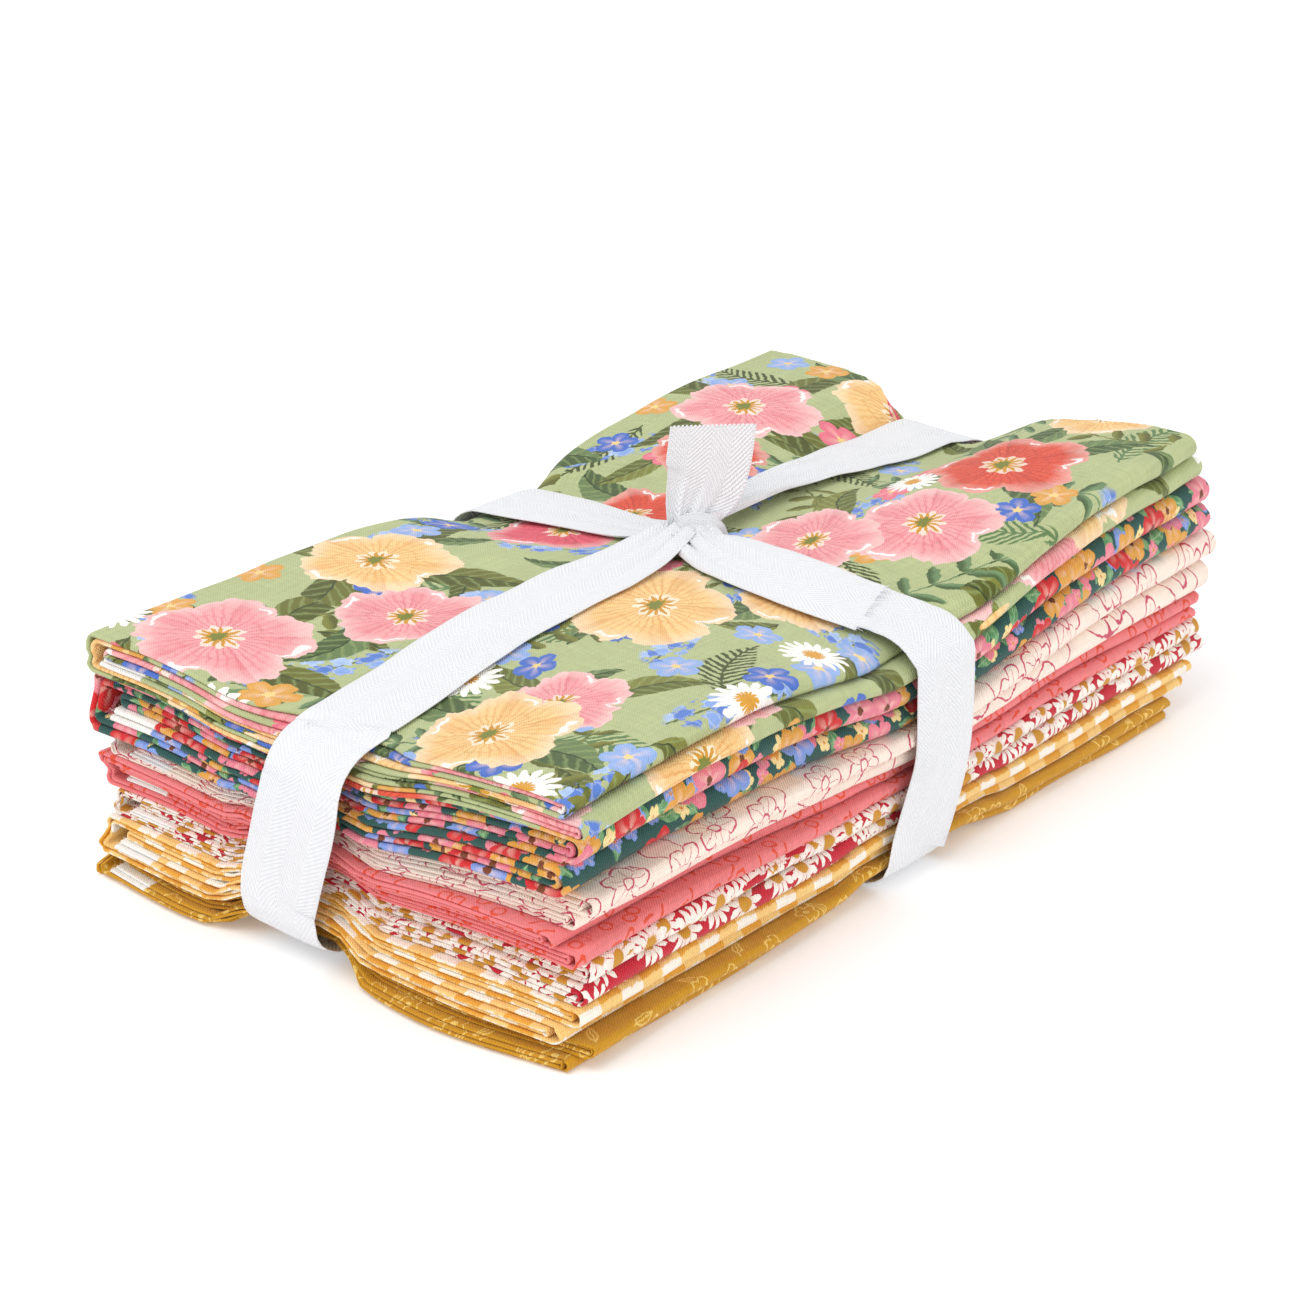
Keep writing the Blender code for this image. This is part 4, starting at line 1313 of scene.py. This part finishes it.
def sage_print(tree, u, v):
    """Fronds, leaves and small flowers, then the large blooms, on sage."""
    peach = srgb(250, 208, 142)
    pink = srgb(246, 170, 172)
    rose = srgb(232, 96, 112)
    coral_red = srgb(230, 86, 60)
    gold_streak = srgb(224, 152, 70)
    pink_streak = srgb(222, 104, 118)
    red_streak = srgb(182, 48, 34)
    rose_streak = srgb(196, 60, 80)
    blue = srgb(92, 130, 210)
    deep_blue = srgb(72, 112, 200)
    colour = fern_fronds(tree, srgb(183, 192, 140), u, v, pitch=52.0, shift=133.0)
    colour = broad_leaves(tree, colour, u, v, pitch=31.0, shift=8.0, reach=0.0, long=9.5,
                          wide=3.1, count=1, keep=0.72)
    colour = blossom_spikes(tree, colour, u, v, pitch=47.0, shift=29.0,
                            colours=(blue, srgb(140, 172, 232), blue, srgb(170, 196, 240)))
    colour = leaf_sprays(tree, colour, u, v, pitch=43.0, shift=67.0, keep=0.75)
    colour = broad_leaves(tree, colour, u, v, pitch=66.0, shift=17.0, reach=24.0, long=14.0,
                          wide=5.0, count=4, keep=0.9)
    colour = broad_leaves(tree, colour, u, v, pitch=66.0, shift=51.0, reach=21.0, long=12.0,
                          wide=4.4, count=3, keep=0.9)
    colour = ditsy_layer(tree, colour, u, v, pitch=21.0, shift=91.0, size=6.0,
                         colours=(deep_blue, srgb(226, 166, 76), srgb(238, 120, 140), deep_blue,
                                  srgb(150, 180, 232)), heart=srgb(246, 214, 140), keep=0.62)
    colour = tall_daisies(tree, colour, u, v, pitch=47.0, shift=11.0, keep=0.55)
    colour = big_blooms(tree, colour, u, v, shift=51.0, size=16.5,
                        colours=(rose, coral_red, pink, peach),
                        streaks=(rose_streak, red_streak, pink_streak, gold_streak))
    return big_blooms(tree, colour, u, v, shift=17.0, size=20.5,
                      colours=(peach, pink, peach, coral_red),
                      streaks=(gold_streak, pink_streak, gold_streak, red_streak))


finish_cut(sage, sage_fold, "cut_sage_floral",
           cotton("sage_floral_cotton", sage_fold.length_v, sage_print),
           thread_finish("sage_yarn", srgb(160, 176, 116), srgb(244, 240, 226)))


# The ribbon: one length of white herringbone twill, 22 mm wide.  It runs round
# the bundle both ways and is tied on top in one hard knot, which gathers the four
# strands.  One end is pinked and stands up, the other is frayed and lies down.
# Its sizes and heights, and the four faces that its middle runs down, in mm.
RIBBON_WIDTH = 22.0
RIBBON_THICK = 0.55
RIBBON_OFF = 0.75
RIBBON_FOOT = 0.8
LEFT_FOOT_RISE = 2.4
CROSSING_RISE = 1.45
LEFT_FACE = -121.1
RIGHT_FACE = 131.1
NEAR_FACE = -70.9
FAR_FACE = 73.2
KNOT_FOOT = float(top_height(np.array(KNOT_X), np.array(KNOT_Y)))

# The ribbon's round corners, as radii along and up, in mm.
RIGHT_BEND = (17.0, 14.3)
RIGHT_FOOT_BEND = (20.0, 14.0)
LEFT_BEND = (13.0, 11.2)
LEFT_FOOT_BEND = (10.0, 8.0)
LONG_FACE_BEND = (12.0, 10.0)
LONG_FACE_FOOT_BEND = (9.0, 7.0)

# Middle lines of the two strands that swing to one side on the cloth: the right
# one from the knot as (x, y), and the near one as (y, x).
RIGHT_SWING = ((12.0, 5.3), (30.0, 7.2), (50.0, 9.4), (65.0, 11.0), (83.0, 11.9),
               (100.0, 11.2), (112.0, 10.2))
NEAR_SWING = ((-56.0, 5.0), (-47.0, 3.8), (-38.0, 2.6), (-27.0, 2.2), (-15.0, 3.8),
              (-5.0, 6.8), (5.0, 9.4))

# The two free ends from the knot, as rows (x, y, height above the cloth, width).
STANDING_END = ((9.9, 6.6, 2.0, 10.2), (10.8, 6.7, 4.4, 11.8), (11.7, 6.7, 6.2, 14.0),
                (13.1, 6.5, 8.4, 16.6), (14.9, 6.3, 10.9, 19.0), (16.6, 6.2, 13.7, 20.8),
                (18.0, 6.4, 17.2, 21.8), (19.3, 6.7, 21.0, 22.0), (20.7, 7.1, 25.3, 22.0))
LYING_END = ((10.5, 4.0, 2.6, 7.0), (8.2, 1.6, 3.0, 10.5), (5.8, -1.6, 2.6, 14.5),
             (3.9, -8.0, 2.3, 17.0), (2.0, -16.5, 2.1, 19.0), (0.9, -26.0, 1.95, 21.0),
             (0.9, -36.0, 1.8, 22.0), (1.7, -44.0, 1.7, 22.0), (3.1, -51.0, 1.7, 22.0))

# The knot, in rows of the same kind: a gathered core, and the tight turn that
# passes across it from its far left to its near right as a round roll.
CORE = ((8.6, 7.6, 1.2, 4.0), (10.0, 5.9, 2.2, 6.4), (11.6, 4.0, 2.6, 7.4), (13.2, 2.0, 2.2, 6.4),
        (14.6, 0.4, 1.2, 4.0))
WRAP = ((7.6, 8.5, 0.6, 4.5), (8.2, 7.8, 2.6, 5.4), (9.5, 6.3, 3.8, 6.0), (11.1, 4.4, 4.2, 6.2),
        (12.7, 2.5, 3.8, 6.0), (14.0, 1.0, 2.6, 5.4), (14.6, 0.3, 0.6, 4.5))


def gathered(distance, narrow, reach, power):
    """Width of a strand at a distance from the knot, where its pleats open out."""
    return narrow + (RIBBON_WIDTH - narrow) * min(1.0, distance / reach) ** power


def on_top(x, y, along_x, width, rise=2.6, fade=10.0):
    """A strand's row (x, y, z, width, slope across it) on the cloth, rising into the knot."""
    sides = 0.5 * width * np.linspace(-1.0, 1.0, 5)
    if along_x:
        heights = top_height(x + 0.0 * sides, y + sides)
    else:
        heights = top_height(x + sides, y + 0.0 * sides)
    to_edge = min(112.0 - abs(x), 58.0 - abs(y))
    slope = float((heights * sides).sum() / (sides * sides).sum()) * float(ease(to_edge / 22.0))
    away = math.hypot(x - KNOT_X, y - KNOT_Y)
    lift = RIBBON_OFF + rise * math.exp(-(away / fade) ** 2)
    return x, y, float((heights - slope * sides).max()) + lift, width, slope


def off_cloth(places):
    """Full-width rows with no tilt, from places (x, y, z)."""
    return [(x, y, z, RIBBON_WIDTH, 0.0) for x, y, z in places]


def arc(start, end, center, radii, count):
    """Points of a quarter turn, angles in degrees, without its first point."""
    angles = np.radians(np.linspace(start, end, count + 1)[1:])
    return [(center[0] + radii[0] * math.cos(a), center[1] + radii[1] * math.sin(a)) for a in angles]


def over_edge(face, side, top, drop, radii, count):
    """Quarter turn between the top, less a drop, and a face.

    side is 1 at the right and far face, where the turn goes down, and -1 at the
    left and near face, where it goes up.
    """
    center = (face - side * radii[0], top - drop - radii[1])
    start, end = (90.0, 0.0) if side > 0 else (180.0, 90.0)
    return arc(start, end, center, radii, count)


def under_edge(face, side, foot, radii, count):
    """Quarter turn between a face and the underside, with the side as above."""
    center = (face - side * radii[0], foot + radii[1])
    start, end = (0.0, -90.0) if side > 0 else (-90.0, -180.0)
    return arc(start, end, center, radii, count)


def even_path(points, step):
    """A smooth path through rows of numbers, at even steps."""
    points = np.array(points, float)
    dense = []
    padded = np.vstack((2 * points[0] - points[1], points, 2 * points[-1] - points[-2]))
    for i in range(1, len(padded) - 2):
        a, b, c, d = padded[i - 1:i + 3]
        for t in np.linspace(0.0, 1.0, 12, endpoint=False):
            dense.append(0.5 * (2 * b + (c - a) * t + (2 * a - 5 * b + 4 * c - d) * t * t
                                + (3 * b - a - 3 * c + d) * t ** 3))
    dense.append(points[-1])
    dense = np.array(dense)
    gone = length_along(dense[:, :3])
    places = np.linspace(0.0, gone[-1], max(8, int(gone[-1] / step)))
    return np.stack([np.interp(places, gone, dense[:, i]) for i in range(dense.shape[1])], axis=1)


def lengthwise_strand():
    """Rows from the knot right, under the bundle, and back from the left to the knot."""
    top_right = [on_top(x, float(np.interp(x, *zip(*RIGHT_SWING))), True,
                        gathered(x - KNOT_X, 5.5, 78.0, 1.0), rise=4.2, fade=40.0)
                 for x in np.arange(KNOT_X + 3.0, 112.0, 3.0)]
    top_left = [on_top(x, float(lengthwise_y(x)), True,
                       gathered(KNOT_X - x, 8.0, 32.0, 0.5), rise=3.4, fade=14.0)
                for x in np.arange(-107.0, KNOT_X, 3.0)]
    end_y = RIGHT_SWING[-1][1] - 0.3
    bend = over_edge(RIGHT_FACE, 1, top_right[-1][2], 0.0, RIGHT_BEND, 8)
    over_end = [(x, end_y - 0.1 * (x - 114.0), z, RIBBON_WIDTH, 0.004 * (RIGHT_FACE - x)) for x, z in bend]
    around = [(RIGHT_FACE, end_y - 1.2, 38.0), (RIGHT_FACE, LENGTHWISE_FOOT, 20.0)]
    below = under_edge(RIGHT_FACE, 1, RIBBON_FOOT, RIGHT_FOOT_BEND, 8)
    below += [(x, RIBBON_FOOT) for x in np.arange(104.0, -96.0, -8.0)]
    below += under_edge(LEFT_FACE, -1, RIBBON_FOOT + LEFT_FOOT_RISE, LEFT_FOOT_BEND, 6)
    around += [(x, LENGTHWISE_FOOT, z) for x, z in below]
    start_y = float(lengthwise_y(-HALF_LENGTH))
    around += [(LEFT_FACE, LENGTHWISE_FOOT, 16.0), (LEFT_FACE, start_y + 2.0, 34.0)]
    around += [(x, start_y, z) for x, z in over_edge(LEFT_FACE, -1, top_left[0][2], 0.4, LEFT_BEND, 8)]
    return top_right + over_end + off_cloth(around) + top_left


def crosswise_strand():
    """Rows from the knot far, under the bundle, and back from the near side to the knot."""
    far_run = [on_top(float(crosswise_x(y)), y, False, gathered(y - KNOT_Y, 8.0, 52.0, 0.7))
               for y in np.arange(KNOT_Y, 58.0, 3.0)]
    near_run = [on_top(float(np.interp(y, *zip(*NEAR_SWING))), y, False,
                       gathered(KNOT_Y - y, 8.0, 48.0, 1.0))
                for y in np.arange(-56.0, KNOT_Y, 3.0)]
    near_top, far_top = CROSSWISE_TOP
    near_foot, far_foot = CROSSWISE_FOOT
    top = far_run[-1][2]
    around = [(far_top, y, z) for y, z in over_edge(FAR_FACE, 1, top, 0.5, LONG_FACE_BEND, 7)]
    around += [(far_top - 0.5, FAR_FACE, 0.46 * top)]
    around += [(far_foot, y, z)
               for y, z in under_edge(FAR_FACE, 1, RIBBON_FOOT, LONG_FACE_FOOT_BEND, 6)]
    for y in np.arange(58.0, -58.0, -4.0):
        lifted = float(over_ribbon(y - LENGTHWISE_FOOT, 12.0, 8.5))
        foot_x = float(np.interp(y, (-HALF_WIDTH, HALF_WIDTH), CROSSWISE_FOOT))
        around.append((foot_x, y, RIBBON_FOOT + CROSSING_RISE * lifted))
    around += [(near_foot, y, z)
               for y, z in under_edge(NEAR_FACE, -1, RIBBON_FOOT, LONG_FACE_FOOT_BEND, 6)]
    top = near_run[0][2]
    around += [(near_top - 0.9, NEAR_FACE, 0.46 * top)]
    around += [(near_top, y, z) for y, z in over_edge(NEAR_FACE, -1, top, 0.4, LONG_FACE_BEND, 7)]
    return far_run + off_cloth(around) + near_run


def twill_band(rows, across, step, lanes, fold=1.0, thick=RIBBON_THICK, bow=0.0, teeth=False,
               sway=0.0, seed=1, slant=0.0):
    """One stretch of ribbon as closed rings across its path, with their unfolded places.

    fold, bow and sway are its pleats, its arch and its small waves, in mm.  slant
    turns its last end, and teeth pinks it.
    """
    path = even_path(rows, step)
    centre, width = path[:, :3], path[:, 3]
    tangent = np.gradient(centre, axis=0)
    tangent /= np.linalg.norm(tangent, axis=1)[:, None] + 1e-9
    across = np.broadcast_to(np.array(across, float), centre.shape)
    if path.shape[1] > 4:
        across = across + path[:, 4:] * np.array((0.0, 0.0, 1.0))
    across = across - (across * tangent).sum(axis=1)[:, None] * tangent
    across = across / np.linalg.norm(across, axis=1)[:, None]
    normal = np.cross(tangent, across)
    share = np.linspace(-1.0, 1.0, lanes)
    gone = length_along(centre)
    pleats = fold * np.clip((RIBBON_WIDTH - width) / 13.0, 0.0, 1.0)[:, None]
    wave = 0.85 * pleats * np.cos(3.0 * math.pi * share + 0.5 + 0.03 * gone[:, None])
    wave = wave + 0.35 * pleats * np.cos(7.0 * math.pi * share + 0.06 * gone[:, None])
    wave = wave + bow * (1.0 - share ** 2)
    wave = wave + sway * ripple(gone[:, None], 9.0 * share[None, :], seed, 26.0)
    is_sheet = thick < 1.0
    round_edge = np.sqrt(np.clip(1.0 - share ** 2, 0.0, 1.0)) ** (0.25 if is_sheet else 0.8)
    lift = 0.5 * thick * np.maximum(round_edge, 0.35 if is_sheet else 0.06)
    flat = centre[:, None] + across[:, None] * (0.5 * width[:, None] * share)[..., None]
    upper = flat + normal[:, None] * (wave + lift)[..., None]
    lower = flat + normal[:, None] * (wave - lift)[..., None]
    near_end = np.clip((gone - gone[-1] + 14.0) / 14.0, 0.0, 1.0)
    slanted = tangent[:, None] * (slant * near_end[:, None] * share)[..., None]
    tooth = 0.25 * (np.abs(np.arange(lanes) % 4 - 2.0) - 1.0) if teeth else np.zeros(lanes)
    for skin in (upper, lower):
        skin += slanted
        skin[-1] += tangent[-1] * tooth[:, None]
    ring = np.concatenate((upper, lower[:, ::-1]), axis=1)
    u = 0.5 * RIBBON_WIDTH * share
    ring_u = np.broadcast_to(np.concatenate((u, u[::-1])), ring.shape[:2])
    ring_v = np.broadcast_to(gone[:, None], ring.shape[:2])
    return ring, np.stack((ring_u, ring_v), axis=-1)


def above_knot_foot(table):
    """Rows of the knot or of an end, set on the cloth under the knot."""
    return [(x, y, KNOT_FOOT + up, wide) for x, y, up, wide in table]


lying_rows = [(x, y, float(top_height(np.array(x), np.array(y))) + up, wide)
              for x, y, up, wide in LYING_END]
END_LANES = 81
lying_band = twill_band(lying_rows, (0.94, 0.31, 0.13), 1.0, END_LANES, sway=0.16, seed=24,
                        slant=-1.5)
ribbon = lofted("ribbon_tie", [
    twill_band(lengthwise_strand(), (0.0, 1.0, 0.0), 2.2, 25, sway=0.16, seed=21),
    twill_band(crosswise_strand(), (1.0, 0.0, 0.0), 2.2, 25, fold=0.45, sway=0.12, seed=22),
    twill_band(above_knot_foot(CORE), (0.77, 0.638, 0.0), 0.8, 33, thick=4.0, fold=0.3),
    twill_band(above_knot_foot(WRAP), (0.60, 0.50, 0.62), 0.6, 41, thick=2.6, fold=0.25, bow=0.7),
    twill_band(above_knot_foot(STANDING_END), (0.81, -0.48, -0.33), 1.0, END_LANES, bow=0.5,
               teeth=True, sway=0.25, seed=23, slant=1.6),
    lying_band,
], 1, 60.0)

# The twill, in mm: the width of a herringbone lane, the pitch of its ribs and of
# its yarns, how far from its middle the firm edges start, and their pitch.
LANE = 5.5
RIB_PITCH = 1.15
YARN_PITCH = 0.55
FIRM_EDGE = 10.3
EDGE_PITCH = 0.6


def twill(name):
    """White cotton twill: four lanes of herringbone, firm edges, faint slubs, and painted shade of its
    ribs.
    """
    material, tree, shader = surface(name, {"Roughness": 0.7, "Specular IOR Level": 0.3,
                                            "Sheen Weight": 0.15})
    u, v = cloth_place(tree)
    zigzag = u.wrapped(-LANE, LANE).size()
    rib = ((v + zigzag) * (2.0 * math.pi / RIB_PITCH)).sin()
    yarn = (u * (2.0 * math.pi / YARN_PITCH)).sin() * 0.35
    edge = (u.size() - FIRM_EDGE).within(0.3)
    height = (rib + yarn) * (1.0 - edge) + (v * (2.0 * math.pi / EDGE_PITCH)).sin() * edge
    slub = noise(tree, u, v, 0.35, 3.0)
    # The ribs' relief also lightens and darkens the colour: this is painted shade of the twill. The slubs
    # are the yarn's own uneven tone.
    shade = height * 0.04 + (slub - 0.5) * 0.04 + 1.0
    dress(tree, shader, srgb(241, 242, 245), shade, height + slub, 0.6, 0.00022)
    return material


ribbon.data.materials.append(twill("ribbon_twill"))
frayed = lying_band[0][-1, :END_LANES]
beyond = frayed - lying_band[0][-3, :END_LANES]
ribbon_yarn = thread_finish("ribbon_yarn", srgb(244, 245, 248), srgb(228, 230, 236))
ribbon_threads = loose_threads("ribbon_tie_threads", [along_edge(frayed, beyond, 0.34)], long=1.3,
                               thick=0.24, bend=0.25, spread=0.22, seed=5, yarn=ribbon_yarn)
for held in (ribbon, ribbon_threads):
    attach(held, "root")
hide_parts("ribbon")
